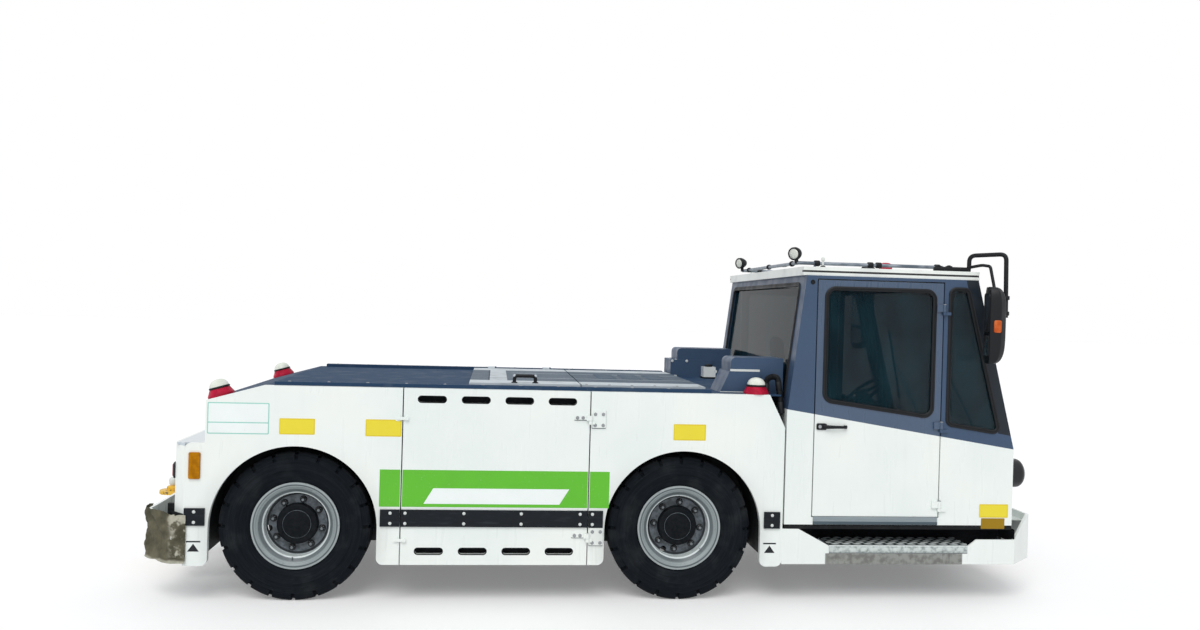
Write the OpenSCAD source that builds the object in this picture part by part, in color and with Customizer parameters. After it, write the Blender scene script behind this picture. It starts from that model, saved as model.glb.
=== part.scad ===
// Airport towing tractor with a front cab, battery doors on both sides, a low
// flat deck and push bumpers at both ends. X runs forward, Y to the left.

/* [Vehicle] */
// Distance between the front and rear axles
wheelbase = 2640; // [2400:10:3000]
// Width over the side panels
body_w = 2250; // [2100:10:2500]
// Height of the deck
deck_z = 1462; // [1400:2:1560]
// Height of the side panels' lower edge
skirt_z = 262; // [220:2:300]
// Thickness of doors and fender panels
panel_t = 40; // [25:1:60]
// Gap between neighbouring panels
panel_gap = 8; // [6:1:14]
// Sheet thickness of folded steel plates
sheet_t = 12; // [6:1:16]
// Distance from the rear axle to the rear end of the side panels
tail_x = 710; // [680:5:780]
// Distance from the rear axle to the side door's rear edge
door_rear_x = 712; // [660:4:760]
// Distance from the side door's front edge to the front axle
door_front_gap = 660; // [640:4:720]
// Gap between the tyres and the wheel arches in the side panels
arch_gap = 47; // [40:1:65]

/* [Wheels] */
// Outer diameter of the tyres
tyre_d = 1010; // [980:5:1030]
// Width of the tyres
tyre_w = 275; // [250:5:285]
// Distance from the side panel's face inward to the tyre's face
wheel_inset = 50; // [40:5:70]
// Bead seat diameter of the rims
rim_d = 508; // [480:2:520]
// Diameter over the rim flanges
flange_d = 590; // [570:2:610]
// Diameter of the rim's well around the disc
well_d = 436; // [420:2:450]
// Pitch circle of the wheel nuts
nut_pcd = 335; // [320:5:360]
// Number of wheel nuts
nut_n = 8; // [6:1:10]
// Diameter of the hub cap
hub_d = 270; // [240:5:290]
// Distance from the wheel's middle plane inward to the kingpin
kingpin_in = 147.5; // [145:0.5:155]
// Length of the steering arms
steer_arm = 220; // [200:5:240]

/* [Frame] */
// Distance from a tyre's inner face to the side member
member_in = 230; // [225:5:260]
// Thickness of the side members
member_t = 30; // [20:1:40]
// Height of the side members' lower edge
frame_z = 300; // [280:5:340]
// Height of the side members above the axles
arch_z = 620; // [600:5:660]
// Height of the side members' upper edge beside the wheels
frame_top = 1000; // [900:10:1040]
// Height of the side members between the wheel bays
saddle_z = 520; // [480:5:560]
// Gap between the battery pack and each side door
battery_in = 85; // [60:5:200]
// Height of the battery pack
battery_h = 850; // [700:10:860]

/* [Cab] */
// Distance from the front axle to the cab's rear wall
cab_rear = 735; // [720:5:780]
// Length of the cab at its floor
cab_l = 1685; // [1600:5:1800]
// Height of the cab's underside
cab_z = 520; // [510:5:560]
// Height of the cab's walls
cab_top = 2313; // [2200:1:2400]
// Thickness of the cab's walls
wall_t = 45; // [30:1:60]
// Height of the nose under the windscreen
nose_z = 1101; // [1000:1:1200]
// Height of the colour split at the cab's rear wall
split_z = 1363; // [1300:1:1420]
// Backward lean of the windscreen, per unit of height
rake = 0.2485; // [0.15:0.01:0.3]
// Forward lean of the rear wall, per unit of height
lean = 0.12; // [0.05:0.01:0.2]
// Distance from the cab's rear wall to the door's rear edge
cab_door_x = 202; // [190:2:230]
// Length of the cab door
cab_door_l = 923; // [860:1:940]
// Height of the cab door's upper edge
cab_door_top = 2283; // [2150:1:2290]
// Height of the threshold under the cab door
threshold_h = 60; // [40:2:80]
// Thickness of the roof
roof_h = 61; // [50:1:80]
// Thickness of the window glass
glass_t = 6; // [4:1:10]

/* [Ends] */
// Distance from the side panels' rear end to the rear bumper's face
tail_reach = 290; // [265:5:380]
// Distance from the cab's nose to the front bumper's face
nose_reach = 240; // [200:10:300]
// Thickness of the bumper plates
bumper_t = 20; // [15:1:30]
// Height of the bumpers' lower edge
bumper_z = 270; // [250:5:300]
// Height of the bumpers' upper edge
bumper_top = 595; // [560:5:640]
// Distance that the bumpers' corners are set back
corner_l = 215; // [180:5:240]
// Distance that the bumpers' corners are set in from the sides
corner_w = 200; // [150:10:260]
// Diameter of the drop pin that the couplings take
tow_pin_d = 40; // [30:1:50]
// Height of the couplings' middle plate
tow_z = 440; // [400:5:480]
// Thickness of the protective wraps on the rear corners
wrap_t = 28; // [15:1:40]

/* [Hidden] */
$fn = 64;

WHITE = [0.93, 0.95, 0.95];
SLATE = [0.27, 0.31, 0.39];
BLACK = [0.08, 0.09, 0.11];
STEEL = [0.55, 0.58, 0.62];
AMBER = [0.85, 0.5, 0.1];
RED = [0.75, 0.1, 0.1];
PAPER = [0.5, 0.44, 0.35];
GLASS = [0.35, 0.45, 0.5, 0.4];
RIGHT = -1;
LEFT = 1;

half_w = body_w / 2;
inner_w = half_w - panel_t;
axle_z = tyre_d / 2;
arch_r = tyre_d / 2 + arch_gap;
tyre_y = half_w - wheel_inset - tyre_w / 2;
kingpin_y = tyre_y - kingpin_in;
member_y = tyre_y - tyre_w / 2 - member_in;
battery_w = 2 * (inner_w - battery_in);
rear_reach = tail_x + tail_reach;
front_x = wheelbase;
door_front_x = front_x - door_front_gap;
cab_x0 = front_x + cab_rear;
cab_x1 = cab_x0 + cab_l;
front_face = cab_x1 + nose_reach;
// The frame's origin lies midway between the two bumpers
origin_x = (front_face - rear_reach) / 2;

// Bulkheads on both sides of the battery
bulkhead_t = 20;
bulkhead_x0 = door_rear_x - 112;
bulkhead_x1 = door_front_x + 36;
tray_t = 20;
battery_gap = 20;

// Points of an arc about a centre, from one angle to another
function arc(c, r, a0, a1, n = 8) =
  [for (i = [0:n]) let (a = a0 + (a1 - a0) * i / n) [c.x + r * cos(a), c.y + r * sin(a)]];

// Points of a round corner at b, between a and c
function corner(a, b, c, r, n) =
  let (u = (a - b) / norm(a - b), v = (c - b) / norm(c - b), half = acos(u * v) / 2)
  let (m = b + (u + v) / norm(u + v) * r / sin(half), s = b + u * r / tan(half))
  let (e = b + v * r / tan(half), a0 = atan2(s.y - m.y, s.x - m.x))
  let (turn = (atan2(e.y - m.y, e.x - m.x) - a0 + 540) % 360 - 180)
  arc(m, r, a0, a0 + turn, n);

// An outline with all its corners rounded by r
function rounded(p, r, n = 5) =
  [for (i = [0:len(p) - 1])
    each corner(p[(i + len(p) - 1) % len(p)], p[i], p[(i + 1) % len(p)], r, n)];

// Places a model drawn from the rear axle in the vehicle's frame
module placed() {
  translate([-origin_x, 0, 0]) children();
}

// A flat outline in X and Z, given thickness from y0 to y1
module slab(y0, y1) {
  translate([0, y1, 0]) rotate([90, 0, 0]) linear_extrude(y1 - y0) children();
}

// A slab whose outer face is at distance y from the centre plane
module side_slab(side, y, t) {
  if (side == LEFT) {
    slab(y - t, y) children();
  } else {
    slab(-y, -y + t) children();
  }
}

module both() {
  children();
  mirror([0, 1, 0]) children();
}

// A bar between two points
module bar(a, b, r) {
  d = b - a;
  translate(a)
    rotate([0, acos(d.z / norm(d)), atan2(d.y, d.x)])
      cylinder(r = r, h = norm(d));
}

// A round-ended slot in its own plane
module slot(w, h) {
  square([w - h, h], center = true);
  for (s = [-1, 1]) translate([s * (w - h) / 2, 0]) circle(d = h);
}

// Tube through several points, with round bends
module tube(points, r) {
  for (i = [1:len(points) - 1]) bar(points[i - 1], points[i], r);
  for (i = [1:len(points) - 2]) translate(points[i]) sphere(r = r + 3);
}

// Frame

member_end_z = 560;
module member_outline() {
  axle_gap = 250;
  steer_gap = 300;
  ramp = 80;
  polygon([
    [-rear_reach + bumper_t, frame_z], [-axle_gap - ramp, frame_z], [-axle_gap, arch_z],
    [axle_gap, arch_z], [axle_gap + ramp, frame_z],
    [front_x - steer_gap - ramp, frame_z], [front_x - steer_gap, arch_z],
    [front_x + steer_gap, arch_z], [front_x + steer_gap + ramp, frame_z],
    [front_face - bumper_t, frame_z], [front_face - bumper_t, cab_z],
    [cab_x0 - 45, cab_z], [cab_x0 - 45, frame_top], [bulkhead_x1 + bulkhead_t + 10, frame_top],
    [bulkhead_x1 + bulkhead_t + 10, saddle_z], [bulkhead_x0 - 10, saddle_z],
    [bulkhead_x0 - 10, frame_top], [-tail_x + 110, frame_top], [-tail_x + 110, member_end_z],
    [-rear_reach + bumper_t, member_end_z]
  ]);
}

module side_members() {
  color(BLACK) placed() both()
    slab(member_y - member_t, member_y) member_outline();
}

// Plates across the frame: position, lower edge, upper edge
cross_t = 20;
module cross_members() {
  inner = member_y - member_t;
  plates = [
    [-tail_x + 130, frame_z, frame_top],
    [bulkhead_x0 - 40, frame_z, frame_top],
    [bulkhead_x1 + bulkhead_t + 15, frame_z, frame_top],
    [cab_x0 - 75, frame_z, frame_top],
    [cab_x1 - 60, frame_z, cab_z]
  ];
  color(BLACK) placed()
    for (p = plates)
      translate([p[0], -inner, p[1]]) cube([cross_t, 2 * inner, p[2] - p[1]]);
}

// Tray and bulkheads between the wheel bays, in one folded profile
module battery_tray() {
  color(BLACK) placed() slab(-inner_w, inner_w) difference() {
    translate([bulkhead_x0, saddle_z])
      square([bulkhead_x1 + bulkhead_t - bulkhead_x0, deck_z - sheet_t - saddle_z]);
    translate([bulkhead_x0 + bulkhead_t, saddle_z + tray_t])
      square([bulkhead_x1 - bulkhead_x0 - bulkhead_t, deck_z]);
  }
}

module battery_pack() {
  x0 = bulkhead_x0 + bulkhead_t + battery_gap;
  color(STEEL) placed()
    translate([x0, -battery_w / 2, saddle_z + tray_t])
      cube([bulkhead_x1 - battery_gap - x0, battery_w, battery_h]);
}

// Axles

spindle_r = 45;
bearing_gap = 0.05;
drum_r = 205;
drum_t = 14;
// Drum, disc, hub cap, hub and spindle ends, from the wheel's middle outward
drum_in = -98;
disc_out = 5;
cap_out = 46;
hub_in = -60;
spindle_out = -20;

nose_r = 90;
nose_l = 260;
motor_r = 185;
motor_l = 290;
seat_l = 220;
seat_edge = 30;

module rear_axle() {
  flange_y = tyre_y + drum_in - 6;
  color(BLACK) placed() {
    translate([0, 0, axle_z]) {
      rotate([90, 0, 0]) cylinder(r = 75, h = 2 * flange_y, center = true);
      sphere(r = 190);
      both() translate([0, flange_y - 18, 0]) rotate([-90, 0, 0]) cylinder(r = 200, h = 18);
      both() translate([0, flange_y, 0]) rotate([-90, 0, 0])
        cylinder(r = spindle_r, h = tyre_y + spindle_out - flange_y);
      // Drive motor on the axle's nose
      rotate([0, 90, 0]) cylinder(r = nose_r, h = nose_l);
      translate([nose_l - 20, 0, 0]) rotate([0, 90, 0]) cylinder(r = motor_r, h = motor_l);
    }
    // Seats under the side members
    both() translate([-seat_l / 2, member_y - member_t - seat_edge, axle_z])
      cube([seat_l, member_t + 2 * seat_edge, arch_z - axle_z]);
  }
}

eye_r = 50;
eye_h = 140;
pin_r = 22;
lug_t = 30;
lug_gap = 1;

module front_axle() {
  color(BLACK) placed() difference() {
    union() {
      translate([front_x, 0, axle_z]) {
        cube([110, 2 * (kingpin_y - 120), 130], center = true);
        both() translate([-35, kingpin_y - 130, -eye_h / 2 + 5]) cube([70, 130, eye_h - 10]);
        both() translate([0, kingpin_y, -eye_h / 2]) cylinder(r = eye_r, h = eye_h);
      }
      both() translate([front_x - seat_l / 2, member_y - member_t - seat_edge, axle_z])
        cube([seat_l, member_t + 2 * seat_edge, arch_z - axle_z]);
    }
    both() translate([front_x, kingpin_y, axle_z - eye_h / 2 - 1])
      cylinder(r = pin_r + bearing_gap, h = eye_h + 2);
  }
}

// Height of the tie rod's centre below the axles
rod_drop = eye_h / 2 + lug_gap + lug_t / 2;
rod_r = 18;
ball_r = 14;

// Steering knuckle: two lugs on the kingpin, the web with the spindle, and the arm
module knuckle(side) {
  web_y = eye_r + 8;
  web_t = 28;
  lug_z = eye_h / 2 + lug_gap;
  spindle_end = tyre_y + spindle_out - kingpin_y;
  color(STEEL) placed() translate([front_x, side * kingpin_y, axle_z])
    scale([1, side, 1]) {
      for (z = [lug_z, -lug_z - lug_t]) {
        translate([0, 0, z]) cylinder(r = 48, h = lug_t);
        translate([-48, 0, z]) cube([96, web_y + web_t, lug_t]);
      }
      cylinder(r = pin_r, h = 2 * lug_z, center = true);
      translate([-48, web_y, -lug_z]) cube([96, web_t, 2 * lug_z]);
      translate([0, web_y, 0]) rotate([-90, 0, 0])
        cylinder(r = spindle_r, h = spindle_end - web_y);
      translate([-steer_arm, -24, -lug_z - lug_t]) cube([steer_arm, 48, lug_t]);
      translate([-steer_arm, 0, -lug_z - lug_t]) cylinder(r = 24, h = lug_t);
      translate([-steer_arm, 0, -lug_z - lug_t - 42]) cylinder(r = ball_r, h = 43);
    }
}

// Track rod under the steering arms, with an eye round each ball pin
module tie_rod() {
  z = axle_z - eye_h / 2 - lug_gap - lug_t - 22;
  x = front_x - steer_arm;
  color(STEEL) placed() difference() {
    union() {
      translate([x, 0, z]) rotate([90, 0, 0])
        cylinder(r = rod_r, h = 2 * kingpin_y - 40, center = true);
      both() translate([x, kingpin_y, z - 18]) cylinder(r = 30, h = 36);
    }
    both() translate([x, kingpin_y, z - 30]) cylinder(r = ball_r + bearing_gap, h = 60);
  }
}

// Wheels

// Sets a wheel drawn about Z, with its outer face upward, at its axle's end
module at_wheel(x, side) {
  placed() translate([x, side * tyre_y, axle_z]) rotate([-90 * side, 0, 0]) children();
}

rim_half = 97;
lip_t = 10;
nut_r = 19;
hand_hole_r = 22;
module rim(x, side, turn) {
  bead_r = rim_d / 2;
  lip_r = flange_d / 2;
  well_r = well_d / 2;
  drop_r = bead_r - 8;
  back_r = drum_r + 25;
  hub_r = hub_d / 2;
  color(STEEL) at_wheel(x, side) rotate([0, 0, turn]) difference() {
    union() {
      // Barrel with both flanges and the well round the disc
      rotate_extrude() polygon([
        [back_r, -rim_half - lip_t], [lip_r, -rim_half - lip_t], [lip_r, -rim_half],
        [bead_r, -rim_half], [bead_r, -60], [drop_r, -45], [drop_r, 45], [bead_r, 60],
        [bead_r, rim_half], [lip_r, rim_half], [lip_r, rim_half + lip_t],
        [bead_r + 14, rim_half + lip_t], [bead_r, rim_half - 2], [well_r + 12, 74],
        [well_r, 66], [well_r, -20], [back_r, -34]
      ]);
      // Disc with the hub and its cap
      rotate_extrude() polygon([
        [0, disc_out - 16], [90, disc_out - 16], [well_r + 3, disc_out - 22],
        [well_r + 3, disc_out - 7], [well_r - 14, disc_out - 7], [well_r - 20, disc_out],
        [hub_r, disc_out], [hub_r, cap_out - 8], [hub_r - 8, cap_out], [hub_r - 36, cap_out],
        [hub_r - 40, cap_out + 6], [0, cap_out + 6]
      ]);
      // Brake drum
      rotate_extrude() polygon([
        [drum_r - drum_t, drum_in], [drum_r, drum_in], [drum_r, disc_out - 14],
        [50, disc_out - 14], [50, disc_out - 30], [drum_r - drum_t, disc_out - 30]
      ]);
      // Hub round the spindle
      translate([0, 0, hub_in]) cylinder(r = 85, h = disc_out - hub_in);
      for (i = [0:nut_n - 1])
        rotate([0, 0, (i + 0.5) * 360 / nut_n]) translate([nut_pcd / 2, 0, disc_out - 3])
          cylinder(r = nut_r, h = 27, $fn = 6);
    }
    translate([0, 0, hub_in - 1])
      cylinder(r = spindle_r + bearing_gap, h = spindle_out + 2 - hub_in);
    // Hand hole beside the nuts
    translate([well_r - hand_hole_r - 2, 0, disc_out - 32]) cylinder(r = hand_hole_r, h = 34);
  }
}

// One tyre half's outer and inner outline, as radius and distance from the middle
module tyre(x, side) {
  r0 = rim_d / 2 + 1;
  r1 = tyre_d / 2;
  w = tyre_w / 2;
  lip_r = flange_d / 2 + 1;
  half = concat(
    [[r0, 62], [r0, rim_half - 1], [lip_r, rim_half - 1]],
    arc([lip_r + 96, w - 100], 100, 150, 90, 6),
    [[r1 - 75, w - 1], [r1 - 28, w - 12]],
    arc([r1 - 22, w - 34], 22, 75, 0, 4)
  );
  inside = [[r1 - 34, w - 44], [r1 - 75, w - 26], [lip_r + 90, w - 24], [lip_r + 30, w - 40]];
  mid = 12;
  groove = [[r1, mid + 8], [r1 - 14, mid + 5], [r1 - 14, mid - 5], [r1, mid - 8]];
  outer = concat(half, [[r1, 64], [r1 - 14, 61], [r1 - 14, 51], [r1, 48]], groove);
  color(BLACK) at_wheel(x, side) rotate_extrude() polygon(concat(
    outer, [for (i = [len(outer) - 1:-1:0]) [outer[i][0], -outer[i][1]]],
    [for (i = [len(inside) - 1:-1:0]) [inside[i][0], -inside[i][1]]], inside));
}

// Body

// A wheel arch cut: half round above the axle and straight down below it
module arch_cut(x) {
  translate([x, axle_z]) circle(r = arch_r, $fn = 96);
  translate([x - arch_r, 0]) square([2 * arch_r, axle_z]);
}

rear_shelf_z = 1069;
rear_wall_x = -tail_x + 126;
rear_wall_top = deck_z - 105;
rear_slope_x = -tail_x + 498;
tail_d = 80;
tail_z = 600;
leg_z = skirt_z - 9;
leg_r = 45;

// Rounds off a panel's lower corner at p; the panel lies on side s of it
module round_off(p, s) {
  translate(p) scale([s, 1]) difference() {
    translate([-1, -1]) square(leg_r + 1);
    translate([leg_r, leg_r]) circle(r = leg_r);
  }
}

module rear_fender(side) {
  color(WHITE) placed() side_slab(side, half_w, panel_t) difference() {
    polygon(concat(
      corner([-tail_x, leg_z], [-tail_x, rear_shelf_z], [rear_wall_x, rear_shelf_z], 30, 5),
      [[rear_wall_x, rear_shelf_z], [rear_wall_x, rear_wall_top],
       [rear_slope_x, deck_z], [door_rear_x - panel_gap, deck_z],
       [door_rear_x - panel_gap, skirt_z], [0, skirt_z], [0, leg_z], [-tail_x, leg_z]]));
    arch_cut(0);
    round_off([-arch_r, leg_z], -1);
    round_off([arch_r, skirt_z], 1);
  }
}

module rear_fenders() {
  rear_fender(RIGHT);
  rear_fender(LEFT);
}

// Rear wall, shelf, upper wall and slope between the fenders
module rear_body() {
  color(WHITE) placed() {
    translate([0, 0, tail_z]) linear_extrude(rear_shelf_z - tail_z) difference() {
      polygon([[-tail_x, -half_w], [-tail_x - tail_d, -half_w + tail_d],
        [-tail_x - tail_d, half_w - tail_d], [-tail_x, half_w]]);
      polygon([[-tail_x + 1, -half_w + 17], [-tail_x - tail_d + sheet_t, -half_w + tail_d + 5],
        [-tail_x - tail_d + sheet_t, half_w - tail_d - 5], [-tail_x + 1, half_w - 17]]);
    }
    slab(-inner_w, inner_w) polygon([
      [-tail_x - tail_d + sheet_t, rear_shelf_z - sheet_t], [rear_wall_x + sheet_t, rear_shelf_z - sheet_t],
      [rear_wall_x + sheet_t, rear_wall_top - 8], [rear_slope_x, deck_z - sheet_t],
      [rear_slope_x, deck_z], [rear_wall_x, rear_wall_top], [rear_wall_x, rear_shelf_z],
      [-tail_x - tail_d + sheet_t, rear_shelf_z]
    ]);
  }
}

fender_slope = 115;
fender_leg = 155;
arch_lead = 12;
hinge_zs = [450, 1262];
hinge_out = 20;
hinge_r = 14;
hinge_pin_r = 8;
knuckle_h = 34;
pivot_x = door_front_x + panel_gap / 2;
pivot_y = half_w + hinge_out;

module front_fender(side) {
  x0 = door_front_x + panel_gap;
  x1 = cab_x0 - 12;
  arch_x = front_x + arch_lead;
  color(WHITE) placed() {
    side_slab(side, half_w, panel_t) difference() {
      polygon([[x0, skirt_z], [x0, deck_z], [x1 - fender_slope, deck_z],
        [x1, deck_z - 2 * fender_slope], [x1, leg_z], [x1 - fender_leg - 50, leg_z],
        [x1 - fender_leg - 50, skirt_z]]);
      arch_cut(arch_x);
      round_off([arch_x - arch_r, skirt_z], -1);
      round_off([arch_x + arch_r, leg_z], 1);
      round_off([x1, leg_z], -1);
    }
    // Hinge plates with their lower knuckles and pins
    for (z = hinge_zs) {
      side_slab(side, half_w + 10, 10) translate([x0 + 8, z - 50]) square([95, 120]);
      side_slab(side, half_w + 24, 24)
        translate([pivot_x, z - knuckle_h / 2 - 8]) square([30, knuckle_h / 2 + 6]);
      translate([pivot_x, side * pivot_y, z - knuckle_h / 2 - 8])
        cylinder(r = hinge_r, h = knuckle_h / 2 + 6);
      translate([pivot_x, side * pivot_y, z - knuckle_h / 2])
        cylinder(r = hinge_pin_r, h = knuckle_h + 6);
    }
  }
}

module front_fenders() {
  front_fender(RIGHT);
  front_fender(LEFT);
}

// Curved sheets over the wheels, between the side members and the panels
housing_r = arch_r + 32;
module wheel_housings() {
  color(BLACK) placed() both()
    for (w = [[0, housing_r], [front_x, housing_r + 8]])
      slab(member_y, inner_w) translate([w[0], axle_z]) difference() {
        union() {
          circle(r = w[1] + 6, $fn = 96);
          translate([-w[1] - 6, -190]) square([2 * w[1] + 12, 190]);
        }
        circle(r = w[1], $fn = 96);
        translate([-w[1], -200]) square([2 * w[1], 200]);
        translate([-w[1] - 10, -w[1] - 10]) square([2 * w[1] + 20, w[1] + 10 - 190]);
      }
}

// Side doors with their air slots and hinge straps

slot_n = 4;
slot_w = 188;
slot_h = 42;
slot_gap = 108;
slot_edges = [93, 74];
module side_door(side) {
  l = door_front_x - door_rear_x;
  pitch = slot_w + slot_gap;
  first = door_rear_x + (l - (slot_n - 1) * pitch) / 2;
  color(WHITE) placed() difference() {
    union() {
      side_slab(side, half_w, panel_t)
        translate([door_rear_x, skirt_z]) square([l, deck_z - skirt_z]);
      for (z = hinge_zs) {
        side_slab(side, half_w + 10, 10)
          translate([door_front_x - 105, z + 4]) square([104, 28]);
        side_slab(side, half_w + 24, 24)
          translate([pivot_x - 28, z]) square([24, knuckle_h]);
        translate([pivot_x, side * pivot_y, z]) cylinder(r = hinge_r, h = knuckle_h);
      }
    }
    side_slab(side, half_w + 1, panel_t + 2)
      for (i = [0:slot_n - 1], z = [skirt_z + slot_edges[0], deck_z - slot_edges[1]])
        translate([first + i * pitch, z]) slot(slot_w, slot_h);
    for (z = hinge_zs)
      translate([pivot_x, side * pivot_y, z - 1])
        cylinder(r = hinge_pin_r + bearing_gap, h = knuckle_h + 2);
    // Room for the fixed knuckles, pins and plates
    for (z = hinge_zs)
      translate([pivot_x, side * pivot_y, z - knuckle_h]) cylinder(r = hinge_r + 6, h = knuckle_h);
  }
}

// Black rub strips: rear end and front end along the side
strip_z = 523;
strip_h = 115;
strip_t = 12;
module strip(side, x0, x1) {
  color(BLACK) placed()
    side_slab(side, half_w + strip_t, strip_t)
      translate([x0, strip_z]) square([x1 - x0, strip_h]);
}

module rub_strips() {
  runs = [
    [-tail_x + 5, -arch_r - 20], [arch_r + 20, door_rear_x - panel_gap],
    [door_front_x + panel_gap, front_x + arch_lead - arch_r - 12],
    [front_x + arch_lead + arch_r + 24, cab_x0 - 32]
  ];
  for (s = [RIGHT, LEFT], r = runs) strip(s, r[0], r[1]);
}

// Deck

hatch_x0 = door_rear_x + 428;
hatch_l = 790;
hatch_y = half_w - 255;
hatch_rim = 26;
hatch_edge = 25;
cover_x0 = hatch_x0 + hatch_l + 10;
// Cowls behind the cab: side, length of the upper box, length and slope of the lower box
cowl_x1 = cab_x0 + 10;
cowl_rows = [[RIGHT, 385, 462, 69], [LEFT, 477, 538, 0]];
cover_l = cowl_x1 - cowl_rows[1][2] - panel_gap - cover_x0;
curb_w = 70;
curb_h = 24;

module deck() {
  x1 = cab_x0 - 35;
  color(SLATE) placed() difference() {
    union() {
      translate([rear_slope_x, -inner_w, deck_z - sheet_t])
        cube([x1 - rear_slope_x, 2 * inner_w, sheet_t]);
      // Raised edge along each side
      both() translate([rear_slope_x + 60, inner_w - curb_w, deck_z])
        cube([cover_x0 + cover_l - rear_slope_x - 60, curb_w, curb_h]);
      // Hinge posts with their pins
      for (x = hatch_hinge_xs) {
        translate([x + 61, hatch_pivot_y - 7, deck_z]) cube([12, 22, hatch_pivot_z + 8 - deck_z]);
        translate([x - 4, hatch_pivot_y, hatch_pivot_z]) rotate([0, 90, 0])
          cylinder(r = hatch_pin_r, h = 70);
      }
      // Fixed cover ahead of the hatch
      translate([cover_x0, -hatch_y, deck_z]) cube([cover_l, 2 * hatch_y, hatch_rim]);
    }
    translate([hatch_x0 + hatch_edge, -hatch_y + hatch_edge, deck_z - sheet_t - 1])
      cube([hatch_l - 2 * hatch_edge, 2 * (hatch_y - hatch_edge), sheet_t + 2]);
  }
}

hatch_pin_r = 4;
hatch_pivot_y = hatch_y + 10;
hatch_pivot_z = deck_z + hatch_rim + 8;
hatch_hinge_xs = [hatch_x0 + 120, hatch_x0 + hatch_l - 190];

handle_l = 150;
handle_h = 50;
module deck_hatch() {
  color(WHITE) placed() {
    for (x = hatch_hinge_xs) difference() {
      union() {
        translate([x, hatch_y - 40, deck_z + hatch_rim]) cube([60, 42, 8]);
        translate([x, hatch_pivot_y, hatch_pivot_z]) rotate([0, 90, 0]) cylinder(r = 8, h = 60);
      }
      translate([x - 1, hatch_pivot_y, hatch_pivot_z]) rotate([0, 90, 0])
        cylinder(r = hatch_pin_r + bearing_gap, h = 62);
    }
    difference() {
      translate([hatch_x0, -hatch_y, deck_z + 0.3]) cube([hatch_l, 2 * hatch_y, hatch_rim]);
      translate([hatch_x0 + 8, -hatch_y + 8, deck_z - 1])
        cube([hatch_l - 16, 2 * hatch_y - 16, hatch_rim - 5]);
    }
    // Lifting handle
    x = hatch_x0 + hatch_l / 2;
    y = -hatch_y + 60;
    z = deck_z + hatch_rim;
    tube([[x - handle_l / 2, y, z - 2], [x - handle_l / 2, y, z + handle_h],
      [x + handle_l / 2, y, z + handle_h], [x + handle_l / 2, y, z - 2]], 9);
  }
}

cowl_h = 250;
ledge_h = 150;
ledge_l = 170;
module cowls() {
  x1 = cowl_x1;
  y0 = half_w - 460;
  color(SLATE) placed() for (row = cowl_rows) scale([1, row[0], 1]) {
    slab(y0, half_w - 165) polygon(concat([[x1, deck_z], [x1 - row[1], deck_z]],
      corner([x1 - row[1], deck_z], [x1 - row[1], deck_z + cowl_h], [x1, deck_z + cowl_h], 36, 5),
      [[x1, deck_z + cowl_h]]));
    slab(y0 - 20, half_w - 156) polygon([
      [x1 - row[2], deck_z], [x1 - row[2] + row[3], deck_z + ledge_h],
      [x1 - ledge_l, deck_z + ledge_h], [x1 - ledge_l, deck_z]
    ]);
  }
}

// Small white filler box with its cap, beside the left cowl
filler_w = 105;
module filler_box() {
  x = cab_x0 - 272;
  color(WHITE) placed() translate([x, half_w - 560, deck_z]) {
    translate([0, -filler_w, 0]) cube([filler_w, filler_w, 100]);
    translate([filler_w / 2, -filler_w / 2, 99]) cylinder(r = 28, h = 16);
  }
}

// Cab

floor_t = 31;
floor_z = cab_z + floor_t;
split_slope = (split_z - nose_z) / cab_l;
lean_z = 1330;
lean_top_x = cab_x0 + lean * (cab_top - lean_z);
rake_top_x = cab_x1 - rake * (cab_top - nose_z);
door0 = cab_x0 + cab_door_x;
door1 = door0 + cab_door_l;
door_z0 = floor_z + threshold_h;

module cab_floor() {
  color(BLACK) placed() translate([cab_x0, -half_w, cab_z])
    cube([cab_l, 2 * half_w, floor_t]);
}

cab_pivot_x = door1 + panel_gap / 2;
cab_pivot_y = half_w + 14;
cab_hinge_zs = [675, 1240, 2080];
cab_pin_r = 6;

// The cab's half of the door hinges: bracket, lower knuckle and pin
module cab_hinges(zs) {
  for (s = [RIGHT, LEFT], z = zs) {
    side_slab(s, cab_pivot_y, 14) translate([cab_pivot_x, z - 24]) square([50, 22]);
    translate([cab_pivot_x, s * cab_pivot_y, z - 24]) {
      cylinder(r = 12, h = 22);
      cylinder(r = cab_pin_r, h = 70);
    }
  }
}

// Opening of a cab door in a side wall
module door_cut() {
  translate([door0 - panel_gap, door_z0 - panel_gap])
    square([cab_door_l + 2 * panel_gap, cab_door_top + 2 * panel_gap - door_z0]);
}

module cab_lower() {
  color(WHITE) placed() cab_hinges([cab_hinge_zs[0]]);
  color(WHITE) placed() difference() {
    slab(-half_w, half_w) polygon([[cab_x0, floor_z], [cab_x0, split_z],
      [cab_x1, nose_z], [cab_x1, floor_z]]);
    slab(-half_w + wall_t, half_w - wall_t) polygon([[cab_x0 + wall_t, floor_z - 1],
      [cab_x0 + wall_t, split_z + 9], [cab_x1 - wall_t, split_z + 9], [cab_x1 - wall_t, floor_z - 1]]);
    slab(-half_w - 1, half_w + 1) door_cut();
  }
}

quarter_gap = 56;
quarter_low = nose_z + 134;
quarter_high = cab_top - 71;
function nose_x(z) = cab_x1 - rake * (z - nose_z);
module quarter_outline() {
  x0 = door1 + quarter_gap;
  polygon(rounded([[x0, quarter_low + 43], [x0, quarter_high],
    [nose_x(quarter_high) - 95, quarter_high], [nose_x(quarter_low) - 82, quarter_low - 15]], 36));
}

screen_y = half_w - 85;
screen_low = nose_z + 60;
screen_high = cab_top - 55;
rear_y = half_w - 130;
rear_low = split_z + 70;
rear_high = cab_top - 60;
function rear_x(z) = cab_x0 + lean * (z - lean_z);

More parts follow.
